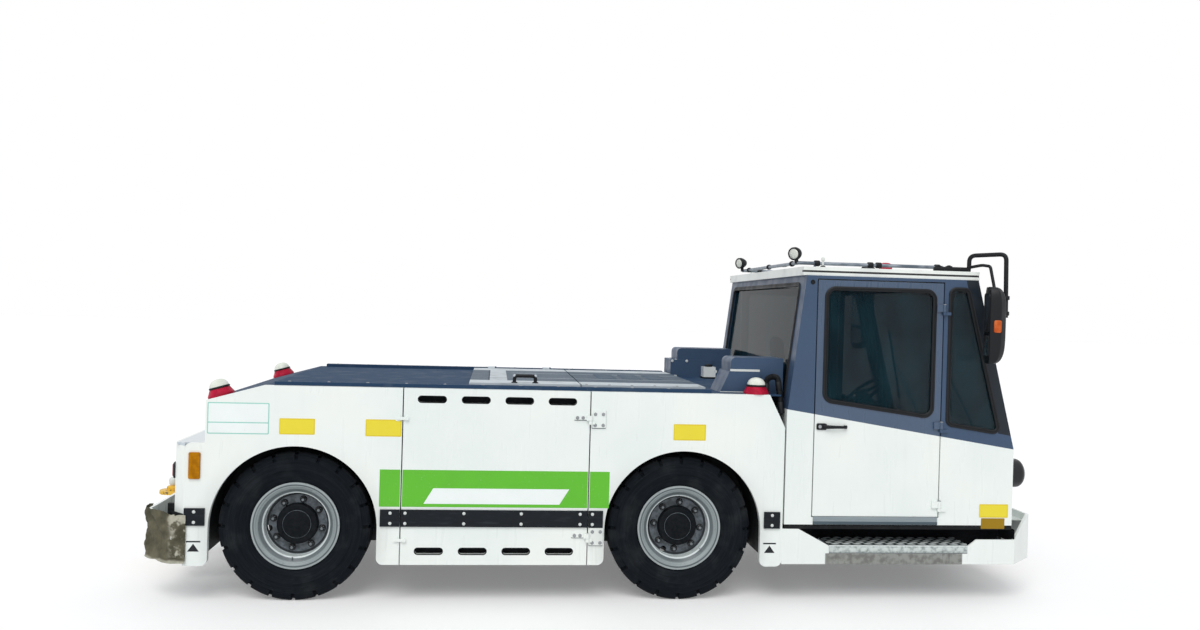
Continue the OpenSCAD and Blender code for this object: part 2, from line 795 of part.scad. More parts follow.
module cab_upper() {
  t = wall_t;
  color(SLATE) placed() cab_hinges([cab_hinge_zs[1], cab_hinge_zs[2]]);
  color(SLATE) placed() difference() {
    slab(-half_w, half_w) polygon([[cab_x0, split_z], [rear_x(split_z), split_z],
      [lean_top_x, cab_top], [rake_top_x, cab_top], [cab_x1, nose_z]]);
    slab(-half_w + t, half_w - t) polygon([[rear_x(split_z) + t, floor_z],
      [rear_x(split_z) + t, split_z], [lean_top_x + t, cab_top + 1],
      [rake_top_x - t - 10, cab_top + 1], [cab_x1 - t - 10, nose_z], [cab_x1 - t, nose_z - 60]]);
    slab(-half_w - 1, half_w + 1) door_cut();
    slab(-half_w - 1, half_w + 1) quarter_outline();
    slab(-screen_y, screen_y)
      translate([(cab_x0 + cab_x1) / 2, screen_low]) square([cab_l, screen_high - screen_low]);
    slab(-rear_y, rear_y)
      translate([cab_x0 - 100, rear_low]) square([cab_door_x + 150, rear_high - rear_low]);
  }
}

// Roof with a dark groove round it between two strips
module cab_roof() {
  x0 = lean_top_x - 25;
  x1 = rake_top_x + 10;
  w = half_w - 10;
  groove = 14;
  color(WHITE) placed() difference() {
    translate([x0, -w, cab_top]) cube([x1 - x0, 2 * w, roof_h]);
    for (s = [-1, 1]) translate([x0 - 1, s * w - 7, cab_top + 22]) cube([x1 - x0 + 2, 14, groove]);
    for (s = [-1, 1])
      translate([x0 - 1, s * w, cab_top + roof_h]) rotate([45, 0, 0])
        cube([x1 - x0 + 2, 20, 20], center = false);
  }
}

// A pane along a leaning wall, from one height to another
module pane(x_low, x_high, z0, z1, y) {
  slab(-y, y) polygon([[x_low, z0], [x_low + glass_t, z0], [x_high + glass_t, z1], [x_high, z1]]);
}

module cab_glass() {
  color(GLASS) placed() {
    pane(nose_x(screen_low) - 30, nose_x(screen_high) - 30, screen_low, screen_high, screen_y);
    pane(rear_x(rear_low) + 18, rear_x(rear_high) + 18, rear_low, rear_high, rear_y);
    for (s = [RIGHT, LEFT])
      side_slab(s, half_w - 18, glass_t) quarter_outline();
  }
}

window_edge = 66;
module window_outline() {
  polygon(rounded([[door0 + window_edge, split_z + 70], [door0 + window_edge, cab_door_top - 60],
    [door1 - window_edge, cab_door_top - 60], [door1 - window_edge, split_z - 37]], 60, 6));
}

module cab_door(side) {
  color(SLATE) placed() difference() {
    union() {
      side_slab(side, half_w, wall_t)
        translate([door0, door_z0]) square([cab_door_l, cab_door_top - door_z0]);
      for (z = cab_hinge_zs) {
        translate([cab_pivot_x, side * cab_pivot_y, z]) cylinder(r = 12, h = 50);
        side_slab(side, half_w + 14, 14)
          translate([door1 - 50, z]) square([50, 50]);
      }
    }
    side_slab(side, half_w + 1, wall_t + 2) window_outline();
    for (z = cab_hinge_zs)
      translate([cab_pivot_x, side * cab_pivot_y, z - 1])
        cylinder(r = cab_pin_r + bearing_gap, h = 52);
  }
}

module door_glass(side) {
  color(GLASS) placed() side_slab(side, half_w - 18, glass_t) window_outline();
}

// Sill plates under the cab with the step's cut-out
step_z = 405;
step_x0 = door0 + 129;
step_x1 = door1 + 233;
step_d = 245;
step_h = 58;
sill_rise = 43;
module cab_sills() {
  x0 = cab_x0 - 12;
  z = skirt_z + 8;
  color(WHITE) placed() both() slab(half_w - sheet_t, half_w) polygon([
    [x0, z], [x0, cab_z], [cab_x0 + 105, cab_z], [step_x0, step_z - 5],
    [step_x0, step_z - step_h], [step_x1, step_z - step_h], [step_x1, step_z - 5],
    [step_x1 + 65, step_z + sill_rise], [cab_x1 + 15, step_z + sill_rise], [cab_x1 + 15, z]
  ]);
}

// Tread with its front lip and ribs underneath
module cab_steps() {
  color(STEEL) placed() both() {
    translate([step_x0, half_w - step_d, step_z - 6]) cube([step_x1 - step_x0, step_d, 6]);
    for (y = [half_w - 6, half_w - step_d])
      translate([step_x0, y, step_z - step_h]) cube([step_x1 - step_x0, 6, step_h]);
  }
}

// Interior

seat_x = cab_x0 + 420;
seat_ys = [-480, 480];
seat_w = 500;
seat_z = floor_z + 360;
base_w = 360;
cushion_l = 500;
cushion_h = 110;
back_h = 660;
head_w = 240;
head_h = 230;
module seats() {
  back_z = seat_z + 60;
  head_z = back_z + back_h - 20;
  color(BLACK) placed() for (y = seat_ys) translate([seat_x, y, 0]) {
    translate([60, -base_w / 2, floor_z]) cube([base_w, base_w, seat_z - floor_z + 1]);
    slab(-seat_w / 2, seat_w / 2)
      polygon(rounded([[0, seat_z], [0, seat_z + cushion_h], [cushion_l, seat_z + cushion_h + 20],
        [cushion_l, seat_z]], 30));
    slab(-seat_w / 2, seat_w / 2) polygon(rounded([[-20, back_z], [110, back_z],
      [20, back_z + back_h], [-90, back_z + back_h]], 30));
    slab(-head_w / 2, head_w / 2) polygon(rounded([[-80, head_z], [10, head_z],
      [-15, head_z + head_h], [-95, head_z + head_h]], 25));
  }
}

// Dashboard with the steering column
wheel_tilt = 50;
wheel_x = cab_x1 - 520;
wheel_z = nose_z + 229;
column_l = 420;
dash_l = 250;
module dashboard() {
  x1 = cab_x1 - wall_t - 12;
  y1 = half_w - wall_t - 60;
  color(BLACK) placed() {
    slab(-y1, y1) polygon([
      [x1 - dash_l + 30, floor_z], [x1 - dash_l, nose_z - 60], [x1 - dash_l + 60, nose_z + 30],
      [x1 - 20, nose_z - 10], [x1, nose_z - 60], [x1, floor_z]
    ]);
    translate([wheel_x, seat_ys[1], wheel_z]) rotate([0, wheel_tilt - 90, 0])
      translate([0, 0, -column_l]) cylinder(r = 34, h = column_l - 0.5);
  }
}

wheel_ring_r = 200;
module steering_wheel() {
  color(BLACK) placed()
    translate([wheel_x, seat_ys[1], wheel_z]) rotate([0, wheel_tilt - 90, 0]) {
      translate([0, 0, 30]) rotate_extrude($fn = 96)
        translate([wheel_ring_r, 0]) circle(r = 15, $fn = 24);
      cylinder(r = 45, h = 45);
      for (i = [0:2]) rotate([0, 0, 90 + i * 120])
        translate([0, -14, 22]) cube([wheel_ring_r - 5, 28, 14]);
    }
}

// Mirrors on tube arms at the roof's front corners
mirror_y = half_w + 165;
mirror_x = cab_x1 - 245;
mirror_w = 200;
mirror_l = 125;
mirror_h = 540;
arm_rise = 130;
module mirrors() {
  top = cab_top + roof_h;
  head_top = top - 110;
  head_x = mirror_x - mirror_l / 2;
  // Upper arm: up from the roof, out, and down in front of the head
  tube_x = mirror_x + mirror_l / 2 + 18;
  root_x = rake_top_x - 80;
  root_y = half_w - 60;
  color(BLACK) placed() both() {
    translate([root_x - 230, root_y - 25, top]) cube([270, 50, 30]);
    tube([[root_x, root_y, top + 20], [root_x, root_y, top + arm_rise],
      [tube_x, mirror_y - 30, top + arm_rise], [tube_x, mirror_y - 30, head_top - 220]], 16);
    for (z = [head_top - 60, head_top - 210])
      bar([tube_x, mirror_y - 30, z], [mirror_x, mirror_y - 30, z], 10);
    // Lower arm to the head's top
    tube([[root_x + 20, root_y, top + 20], [root_x + 95, half_w + 30, top + 36],
      [mirror_x - 10, mirror_y - 30, head_top - 20]], 11);
    translate([head_x, mirror_y - mirror_w / 2, head_top - mirror_h])
      linear_extrude(mirror_h) polygon(rounded([[0, 0], [0, mirror_w], [mirror_l * 0.6, mirror_w],
        [mirror_l, mirror_w * 0.75], [mirror_l, mirror_w * 0.25], [mirror_l * 0.6, 0]], 18));
  }
}

// Headlamps on the nose
lamp_y = half_w - 180;
lamp_z = 905;
lamp_r = 105;
lamp_l = 150;
module headlamps() {
  bend = 45;
  color(BLACK) placed() both() translate([cab_x1, lamp_y, lamp_z]) rotate([0, 90, 0])
    rotate_extrude() polygon(concat([[0, 0], [lamp_r, 0]],
      arc([lamp_r - bend, lamp_l - bend], bend, 0, 90, 5), [[0, lamp_l]]));
}

// Rails, posts and lamp bar on the roof
rail_y = half_w - 310;
rail_r = 13;
post_r = 9;
rail_z = cab_top + roof_h + 40;
module roof_rails() {
  x0 = lean_top_x + 12;
  x1 = rake_top_x - 130;
  top = cab_top + roof_h;
  color(STEEL) placed() {
    both() {
      bar([x0, rail_y, rail_z], [x1, rail_y, rail_z], rail_r);
      for (x = [x0 + 140, (x0 + x1) / 2, x1 - 20])
        bar([x, rail_y, top], [x, rail_y, rail_z], post_r);
    }
    bar([x0 + 20, -rail_y, rail_z], [x0 + 20, rail_y, rail_z], rail_r);
  }
}

module work_lamps() {
  x = lean_top_x + 32;
  color(WHITE) placed() both() translate([x, rail_y, rail_z + rail_r]) {
    cylinder(r = 10, h = 20);
    translate([-45, 0, 55]) rotate([0, 90, 0]) rotate_extrude() polygon([
      [0, 0], [38, 0], [45, 12], [45, 50], [28, 78], [0, 82]]);
  }
}

// Marker lamps: corner domes, side lamps and the roof beacon
slope_a = atan((deck_z - rear_wall_top) / (rear_slope_x - rear_wall_x));
lamp_seat = 0.05;
module dome(p, tilt) {
  translate(p) rotate([0, -tilt, 0]) translate([0, 0, lamp_seat]) {
    color(RED) rotate_extrude()
      polygon([[0, 0], [75, 0], [75, 12], [58, 46], [0, 46]]);
    color(WHITE) rotate_extrude() polygon(concat([[0, 45]],
      [[54, 45]], arc([20, 62], 36, 0, 90, 6), [[0, 98]]));
  }
}

module marker_lamps() {
  rear_lamp = 70;
  placed() {
    both() dome([rear_wall_x + rear_lamp, half_w - 120,
      rear_wall_top + rear_lamp * tan(slope_a)], slope_a);
    both() dome([cab_x0 - 208, half_w - 79, deck_z], 0);
    color(AMBER) both() slab(half_w, half_w + 14)
      translate([-tail_x + 27, rear_shelf_z - 237]) square([75, 178]);
    color(RED) translate([rake_top_x - 400, 0, cab_top + roof_h]) rotate_extrude()
      polygon(concat([[0, 0], [80, 0], [80, 14], [66, 18]], arc([36, 30], 30, 0, 90, 5), [[0, 60]]));
  }
}

// Bumpers

// Plan of half a bumper, from its side plate round the corner to the middle
module bumper_plan(face, t, back) {
  w = half_w;
  polygon([
    [face - corner_l - back, w], [face - corner_l, w], [face, w - corner_w], [face, -1],
    [face - t, -1], [face - t, w - corner_w - t / 2], [face - corner_l - t / 2, w - t],
    [face - corner_l - back, w - t]
  ]);
}

module bumper(face, back) {
  side_z = step_z + sill_rise;
  intersection() {
    both() translate([0, 0, bumper_z]) linear_extrude(bumper_top - bumper_z)
      bumper_plan(face, bumper_t, back);
    slab(-half_w - 1, half_w + 1) polygon([[0, 0], [0, side_z], [face - corner_l, side_z],
      [face - 30, bumper_top], [face + 1, bumper_top], [face + 1, 0]]);
  }
}

module bumpers() {
  color(WHITE) placed() {
    bumper(front_face, nose_reach - corner_l - 15);
    mirror([1, 0, 0]) bumper(rear_reach, rear_reach - corner_l - tail_x - 5);
    // Platform behind the front bumper's face
    shelf_w = half_w - corner_w - 60;
    translate([cab_x1 + 20, -shelf_w, bumper_top - 60])
      cube([front_face - bumper_t - cab_x1 - 20, 2 * shelf_w, 8]);
  }
}

// Tow couplings: three plates with one drop-pin bore on a back plate
tow_r = 95;
tow_gap = 75;
tow_plate = 25;
tow_out = 120;
tow_back = 300;
module coupling() {
  bore_r = tow_pin_d / 2 + 1;
  z0 = tow_z - tow_plate / 2;
  difference() {
    union() {
      translate([0, -tow_back / 2, tow_z - tow_back / 2]) cube([30, tow_back, tow_back]);
      for (i = [-1, 0, 1]) translate([0, 0, z0 + i * (tow_gap + tow_plate)]) {
        translate([0, -tow_r, 0]) cube([tow_out, 2 * tow_r, tow_plate]);
        translate([tow_out, 0, 0]) cylinder(r = tow_r, h = tow_plate);
      }
    }
    translate([tow_out, 0, tow_z - 200]) cylinder(r = bore_r, h = 400);
  }
}

module tow_couplings() {
  color(AMBER) placed() {
    translate([front_face, 0, 0]) coupling();
    translate([-rear_reach, 0, 0]) mirror([1, 0, 0]) coupling();
  }
}

// Protective wraps round the rear bumper's corners
wrap_in = 150;
module bumper_wraps() {
  w = half_w;
  r = rear_reach;
  in_y = w - corner_w - wrap_in;
  color(PAPER) placed() both()
    translate([0, 0, bumper_z - 10]) linear_extrude(bumper_top - bumper_z + 10)
      polygon([
        [-r + corner_l, w + 0.3], [-r - 0.3, w - corner_w], [-r - 0.3, in_y],
        [-r - wrap_t, in_y], [-r - wrap_t, w - corner_w + 12], [-r + corner_l - 12, w + wrap_t]
      ]);
}

side_members();
cross_members();
battery_tray();
battery_pack();
rear_axle();
front_axle();
knuckle(RIGHT);  // knuckle_right
knuckle(LEFT);  // knuckle_left
tie_rod();
rim(0, RIGHT, 191);  // rim_rear_right
rim(0, LEFT, 30);  // rim_rear_left
rim(front_x, RIGHT, 242);  // rim_front_right
rim(front_x, LEFT, 115);  // rim_front_left
tyre(0, RIGHT);  // tyre_rear_right
tyre(0, LEFT);  // tyre_rear_left
tyre(front_x, RIGHT);  // tyre_front_right
tyre(front_x, LEFT);  // tyre_front_left
rear_body();
rear_fenders();
front_fenders();
wheel_housings();
deck();
deck_hatch();
cowls();
filler_box();
rub_strips();
side_door(RIGHT);  // side_door_right
side_door(LEFT);  // side_door_left
strip(RIGHT, door_rear_x, door_front_x);  // door_strip_right
strip(LEFT, door_rear_x, door_front_x);  // door_strip_left
cab_floor();
cab_lower();
cab_upper();
cab_roof();
cab_glass();
cab_door(RIGHT);  // cab_door_right
cab_door(LEFT);  // cab_door_left
door_glass(RIGHT);  // door_glass_right
door_glass(LEFT);  // door_glass_left
cab_sills();
cab_steps();
seats();
dashboard();
steering_wheel();
mirrors();
headlamps();
roof_rails();
work_lamps();
marker_lamps();
bumpers();
tow_couplings();
bumper_wraps();
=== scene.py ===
import math

import bmesh
import bpy
import numpy as np
from mathutils import Matrix


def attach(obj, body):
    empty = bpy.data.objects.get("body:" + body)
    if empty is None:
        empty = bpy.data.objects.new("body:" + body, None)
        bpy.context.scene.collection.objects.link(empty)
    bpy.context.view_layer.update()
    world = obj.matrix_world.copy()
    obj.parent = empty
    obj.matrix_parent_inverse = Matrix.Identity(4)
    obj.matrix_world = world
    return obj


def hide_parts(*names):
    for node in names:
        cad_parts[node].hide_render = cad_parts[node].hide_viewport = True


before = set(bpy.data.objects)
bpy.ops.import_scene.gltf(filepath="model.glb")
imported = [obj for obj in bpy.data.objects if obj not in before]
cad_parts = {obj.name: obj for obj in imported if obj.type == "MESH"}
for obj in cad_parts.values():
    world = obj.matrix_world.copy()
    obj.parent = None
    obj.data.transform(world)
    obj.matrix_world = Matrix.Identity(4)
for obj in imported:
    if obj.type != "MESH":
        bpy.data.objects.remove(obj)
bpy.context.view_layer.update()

# Chassis: side members, cross members, battery tray and wheel housings. They are
# welded steel plate, sprayed satin black, and carry road dust low down and in the
# wheel bays.


def srgb(red, green, blue):
    """A linear colour from screen values: ((c/255 + 0.055) / 1.055) ^ 2.4."""
    screen = np.array([red, green, blue]) / 255
    return tuple(((screen + 0.055) / 1.055) ** 2.4) + (1.0,)


class Value:
    """A number or colour that varies over a surface; arithmetic adds Math nodes."""

    def __init__(self, paint, socket):
        self.paint, self.socket = paint, socket

    def math(self, operation, *parts):
        """The value of a Math node with these parts, such as its MAXIMUM or its SINE."""
        return self.paint.node("Math", parts, operation=operation)

    def __add__(self, other):
        return self.math("ADD", self, other)

    def __sub__(self, other):
        return self.math("SUBTRACT", self, other)

    def __rsub__(self, other):
        return self.math("SUBTRACT", other, self)

    def __mul__(self, other):
        return self.math("MULTIPLY", self, other)

    def __pow__(self, other):
        return self.math("POWER", self, other)

    def __abs__(self):
        return self.math("ABSOLUTE", self)

    __radd__, __rmul__ = __add__, __mul__

    def at_least(self, low):
        return self.math("MAXIMUM", self, low)

    def at_most(self, high):
        return self.math("MINIMUM", self, high)

    def sine(self):
        return self.math("SINE", self)


class Nodes:
    """A node tree, and the ways in which it grows."""

    def __init__(self, tree):
        self.tree = tree

    def feed(self, socket, value):
        """Links a value to a socket, or sets the socket's own number or colour."""
        if isinstance(value, Value):
            self.tree.links.new(value.socket, socket)
        elif hasattr(socket.default_value, "__len__") and hasattr(value, "__len__"):
            socket.default_value = tuple(value)[: len(socket.default_value)]
        else:
            socket.default_value = value

    def node(self, kind, sockets=(), out=0, **settings):
        """Adds a node of one type: settings first, then its sockets' values or links."""
        node = self.tree.nodes.new("ShaderNode" + kind)
        for name, value in settings.items():
            setattr(node, name, value)
        pairs = sockets.items() if isinstance(sockets, dict) else enumerate(sockets)
        for key, value in pairs:
            self.feed(node.inputs[key], value)
        return Value(self, node.outputs[out])

    def ramp(self, value, low, high, a=0.0, b=1.0):
        """a below low and b above high, with a smooth rise between."""
        return self.node("MapRange", (value, low, high, a, b), interpolation_type="SMOOTHSTEP")

    def band(self, value, low, high, soft=0.001):
        """1 between low and high, 0 outside."""
        return self.ramp(value, low - soft, low + soft) * self.ramp(value, high + soft, high - soft)

    def mix(self, share, first, second):
        """The colour first * (1 - share) + second * share."""
        return self.node("Mix", {0: share, 6: first, 7: second}, out=2, data_type="RGBA")

    def scaled(self, colour, tone):
        """A colour times a number that may vary."""
        return self.node("VectorMath", {0: colour, "Scale": tone}, operation="SCALE")


class Paint(Nodes):
    """A Principled finish; its place on the object comes in metres as x, y and z."""

    def __init__(self, name, **sockets):
        self.material = bpy.data.materials.new(name)
        self.material.use_nodes = True
        super().__init__(self.material.node_tree)
        self.shader = self.tree.nodes["Principled BSDF"]
        self.place = self.node("TexCoord", out="Object")
        self.x = self.node("SeparateXYZ", (self.place,))
        self.y, self.z = (Value(self, self.x.socket.node.outputs[i]) for i in (1, 2))
        self.set(**sockets)

    def set(self, **sockets):
        """Feeds the finish's sockets, named with _ for each space, and gives the paint."""
        for name, value in sockets.items():
            self.feed(self.shader.inputs[name.replace("_", " ")], value)
        return self

    def noise(self, scale, detail=3.0, stretch=(1, 1, 1), place=None):
        """Cloudy noise from 0 to 1, with about scale patches a metre times stretch."""
        spot = self.node("Mapping", {"Vector": place or self.place, "Scale": stretch})
        return self.node("TexNoise", {"Vector": spot, "Scale": scale, "Detail": detail})

    def bump(self, height, depth):
        """Shades the surface as if a height of 1 stood out by a depth in metres."""
        return self.set(Normal=self.node("Bump", {"Height": height, "Distance": depth}))

    def worn(self, colour, mottle=0.08, dust=0.3, top=0.9, tint=srgb(128, 128, 124)):
        """The colour in patches a little lighter and darker, under dust that thins
        out with height."""
        patches = self.noise(2.3, 4.0)
        grain = self.noise(42.0, 3.0)
        tone = 1 + (patches - 0.5) * (2 * mottle) + (grain - 0.5) * mottle
        cover = self.ramp(self.z + (patches - 0.5) * 0.5, top, 0.05)
        cover = cover * self.ramp(grain, 0.3, 0.7) * dust
        return self.mix(cover, self.scaled(colour, tone), tint)


def coated(name, colour, rough=0.4, peel=0.00012, mottle=0.08, dust=0.3, top=0.9, **sockets):
    """Sprayed paint: worn colour, uneven gloss and a fine orange peel."""
    paint = Paint(name, **sockets)
    spots = paint.noise(9.0, 4.0)
    paint.set(
        Base_Color=paint.worn(colour, mottle, dust, top),
        Roughness=paint.ramp(spots, 0.3, 0.7, rough - 0.07, rough + 0.1),
    )
    return paint.bump(paint.noise(420.0, 2.0), peel)


def dress(paint, *names):
    """Gives a finish to pieces of the frame."""
    for name in names:
        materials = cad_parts[name].data.materials
        materials.clear()
        materials.append(paint.material)


frame_black = coated(
    "frame_black", srgb(20, 23, 28), rough=0.5, dust=0.2, Specular_IOR_Level=0.25
)
dress(frame_black, "side_members", "cross_members", "battery_tray", "wheel_housings")

# Axles, steering knuckles and track rod: iron castings and a steel tube, dipped in
# black paint that lets the rough cast skin show.
axle_black = coated(
    "axle_black", srgb(26, 28, 32), rough=0.55, peel=0.001, dust=0.35, Specular_IOR_Level=0.25
)
dress(axle_black, "rear_axle", "front_axle", "knuckle_right", "knuckle_left", "tie_rod")

# Battery: one steel case between the bulkheads, powder coated in grey, with ribbed
# walls. The cells' lids stand on top, joined by red cable links.
AXLE = np.array([2150.0, 0.0, 0.0])


def unit(vectors):
    """Each vector divided by its own length."""
    vectors = np.array(vectors, float)
    return vectors / np.linalg.norm(vectors, axis=-1, keepdims=True)


def net(points, around=True, loop=False, ends=True):
    """A grid of points P(i, j) as (points, quads, caps): j runs round, i runs along
    and round again for a loop, or is closed by a cap at each end."""
    index = np.arange(points.shape[0] * points.shape[1]).reshape(points.shape[:2])
    caps = [] if loop or not ends else [index[0], index[-1]]
    if around:
        index = np.hstack([index, index[:, :1]])
    if loop:
        index = np.vstack([index, index[:1]])
    quads = np.stack([index[:-1, :-1], index[1:, :-1], index[1:, 1:], index[:-1, 1:]], -1)
    return points.reshape(-1, 3), quads.reshape(-1, 4), caps


def piece(name, parts, paint, body="chassis", sharp=35, replaced=()):
    """One object made of parts in millimetres from the rear axle, fixed to a body. Its
    doubles are merged and its faces turned outwards."""
    first = np.cumsum([0] + [len(part[0]) for part in parts])
    points = (np.concatenate([part[0] for part in parts]) - AXLE) / 1000
    quads = np.concatenate([part[1] + start for part, start in zip(parts, first)])
    caps = [cap + start for part, start in zip(parts, first) for cap in part[2]]
    mesh = bpy.data.meshes.new(name)
    mesh.from_pydata(points, [], quads.tolist() + [cap.tolist() for cap in caps])
    work = bmesh.new()
    work.from_mesh(mesh)
    bmesh.ops.remove_doubles(work, verts=work.verts, dist=2e-6)
    bmesh.ops.recalc_face_normals(work, faces=work.faces)
    work.to_mesh(mesh)
    work.free()
    mesh.shade_smooth()
    mesh.set_sharp_from_angle(angle=math.radians(sharp))
    made = bpy.data.objects.new(name, mesh)
    bpy.context.scene.collection.objects.link(made)
    mesh.materials.append(paint.material)
    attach(made, body)
    if replaced:
        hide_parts(*replaced)
    return made


def moved(part, *offsets):
    """Copies of a part at several offsets."""
    return [(part[0] + np.array(offset, float), part[1], part[2]) for offset in offsets]


def both(parts):
    """Parts and their mirror images on the other side of the vehicle."""
    return parts + [(points * (1, -1, 1), quads, caps) for points, quads, caps in parts]


def rounded(corners, radius, steps=6):
    """An outline with round corners: each is an arc m + r(cos a, sin a) between the
    points where it touches its two sides."""
    corners = np.array(corners, float)
    back = unit(np.roll(corners, 1, 0) - corners)
    ahead = unit(np.roll(corners, -1, 0) - corners)
    half = np.arccos((back * ahead).sum(1)) / 2
    radius = np.broadcast_to(np.array(radius, float), half.shape)
    middle = corners + unit(back + ahead) * (radius / np.sin(half))[:, None]
    start = corners + back * (radius / np.tan(half))[:, None] - middle
    end = corners + ahead * (radius / np.tan(half))[:, None] - middle
    angle = np.arctan2(start[:, 1], start[:, 0])
    turn = np.arctan2(end[:, 1], end[:, 0]) - angle
    turn = (turn + 3 * math.pi) % (2 * math.pi) - math.pi
    angle = angle[:, None] + turn[:, None] * np.linspace(0, 1, steps)
    arc = np.stack([np.cos(angle), np.sin(angle)], -1) * radius[:, None, None]
    return (middle[:, None] + arc).reshape(-1, 2)


def oblong(a0, a1, b0, b1, radius=0.0, steps=5):
    """A rectangle, with round corners where a radius is given."""
    corners = [[a0, b0], [a1, b0], [a1, b1], [a0, b1]]
    return rounded(corners, radius, steps) if radius else np.array(corners, float)


def inset(outline, amount):
    """An outline moved inward along the bisector at each point."""
    ahead = unit(np.roll(outline, -1, 0) - outline)
    back = unit(outline - np.roll(outline, 1, 0))
    after = np.roll(outline, -1, 0)
    area = (outline[:, 0] * after[:, 1] - outline[:, 1] * after[:, 0]).sum()
    normal = unit(ahead + back)[:, ::-1] * (-1, 1) * np.sign(area)
    stretch = np.sqrt(np.clip((1 + (ahead * back).sum(1)) / 2, 0.2, 1))
    return outline + normal * (amount / stretch)[:, None]


def plate(outline, near, far, plane="y", edge=0.8):
    """An outline carried from near to far, with eased edges: rings at the depths
    near, near + e, far - e and far, the first and last moved inward by e."""
    ease = math.copysign(edge, far - near)
    rings = [(edge, near), (0, near + ease), (0, far - ease), (edge, far)]
    flat = np.stack([inset(outline, amount) for amount, _ in rings])
    depth = np.broadcast_to(np.array([d for _, d in rings])[:, None], flat.shape[:2])
    a, b = flat[..., 0], flat[..., 1]
    order = {"y": (a, depth, b), "x": (depth, a, b), "z": (a, b, depth)}[plane]
    return net(np.stack(order, -1))


def lathe(profile, centre, axis=(0, 0, 1), steps=40, loop=False):
    """P(k, a) = centre + h(k) axis + r(k) (cos a e1 + sin a e2) for a profile of
    radii and heights."""
    profile, axis = np.array(profile, float), unit(axis)
    first = unit(np.cross(axis, (1, 0, 0) if abs(axis[0]) < 0.9 else (0, 0, 1)))
    angle = np.arange(steps) * (2 * math.pi / steps)
    ring = np.cos(angle)[:, None] * first + np.sin(angle)[:, None] * np.cross(axis, first)
    points = profile[:, 1, None, None] * axis + profile[:, 0, None, None] * ring
    return net(points + np.array(centre, float), loop=loop, ends=False)


def sweep(path, section, up=(0, 1, 0), loop=False):
    """P(t, k) = path(t) + a(k) side(t) + b(k) lift(t), where side is the path's
    direction crossed with up and lift is side crossed with the direction."""
    path, section = np.array(path, float), np.array(section, float)
    if loop:
        ahead = unit(unit(np.roll(path, -1, 0) - path) + unit(path - np.roll(path, 1, 0)))
    else:
        ahead = unit(np.gradient(path, axis=0))
    side = unit(np.cross(ahead, up))
    lift = np.cross(side, ahead)
    points = section[..., 0, None] * side[:, None] + section[..., 1, None] * lift[:, None]
    return net(points + path[:, None], loop=loop)


def disc(radius, steps=14):
    """A circle's points, as a section for a round bar."""
    angle = np.arange(steps) * (2 * math.pi / steps)
    return radius * np.stack([np.cos(angle), np.sin(angle)], -1)


def bends(corners, radius, steps=7):
    """A path with round bends: at each inner corner the curve
    c + r (1-t)^2 back + r t^2 ahead."""
    corners = np.array(corners, float)
    inner, t = corners[1:-1, None], np.linspace(0, 1, steps)[None, :, None]
    back = unit(corners[:-2] - corners[1:-1])[:, None]
    ahead = unit(corners[2:] - corners[1:-1])[:, None]
    curve = inner + radius * ((1 - t) ** 2 * back + t**2 * ahead)
    return np.vstack([corners[:1], curve.reshape(-1, 3), corners[-1:]])


battery_grey = coated("battery_grey", srgb(120, 124, 128), rough=0.45, dust=0.15)
dress(battery_grey, "battery_pack")
case_x0, case_x1, case_y, case_top = 640.0, 1996.0, 1000.0, 1390.0
rib_foot, rib_top = 580, 1350
ribs = [
    plate(oblong(x - 14, x + 14, rib_foot, rib_top, 8), case_y, case_y + 6)
    for x in np.linspace(case_x0 + 60, case_x1 - 60, 9)
]
lid_ys = (-700, -420, -140, 140, 420, 700)
lids = moved(
    plate(oblong(-70, 70, -105, 105, 12), case_top, case_top + 7, "z"),
    *[(x, y, 0) for x in np.linspace(760, 1880, 8) for y in lid_ys],
)
piece("battery_ribs", both(ribs) + lids, battery_grey)
cable_red = Paint("cable_red", Roughness=0.5)
cable_red.set(Base_Color=cable_red.worn(srgb(150, 40, 32), 0.2, 0.0))
low, high = case_top + 6, case_top + 20
links = [
    sweep(
        bends([[x - 50, y, low], [x - 50, y, high], [x + 50, y, high], [x + 50, y, low]], 12),
        disc(6, 8),
    )
    for x in np.linspace(840, 1800, 7) for y in (-590, -250, 250, 590)
]
piece("battery_links", links, cable_red)

# Wheels: welded steel rims with eight nuts and one hand hole, and a black hub cap.
# The flanges are silver lacquer with turning marks; the disc is brake-dust grey.
# A wheel's values are its x, its side and its turn in degrees.
AXLE_Z, WHEEL_Y = 505.0, 937.5
WHEELS = {
    "rear_right": (0.0, -1, 191), "rear_left": (0.0, 1, 30),
    "front_right": (2640.0, -1, 242), "front_left": (2640.0, 1, 115),
}


def hub_distance(paint):
    """Distance and angle round the nearer wheel's axis, which is 1.32 m before or
    behind x = -0.83: r = ((|x + 0.83| - 1.32)^2 + (z - 0.505)^2)^0.5."""
    along = abs(paint.x + 0.83) - 1.32
    height = paint.z - AXLE_Z / 1000
    radius = (along * along + height * height) ** 0.5
    return radius, along.math("ARCTAN2", along, height)


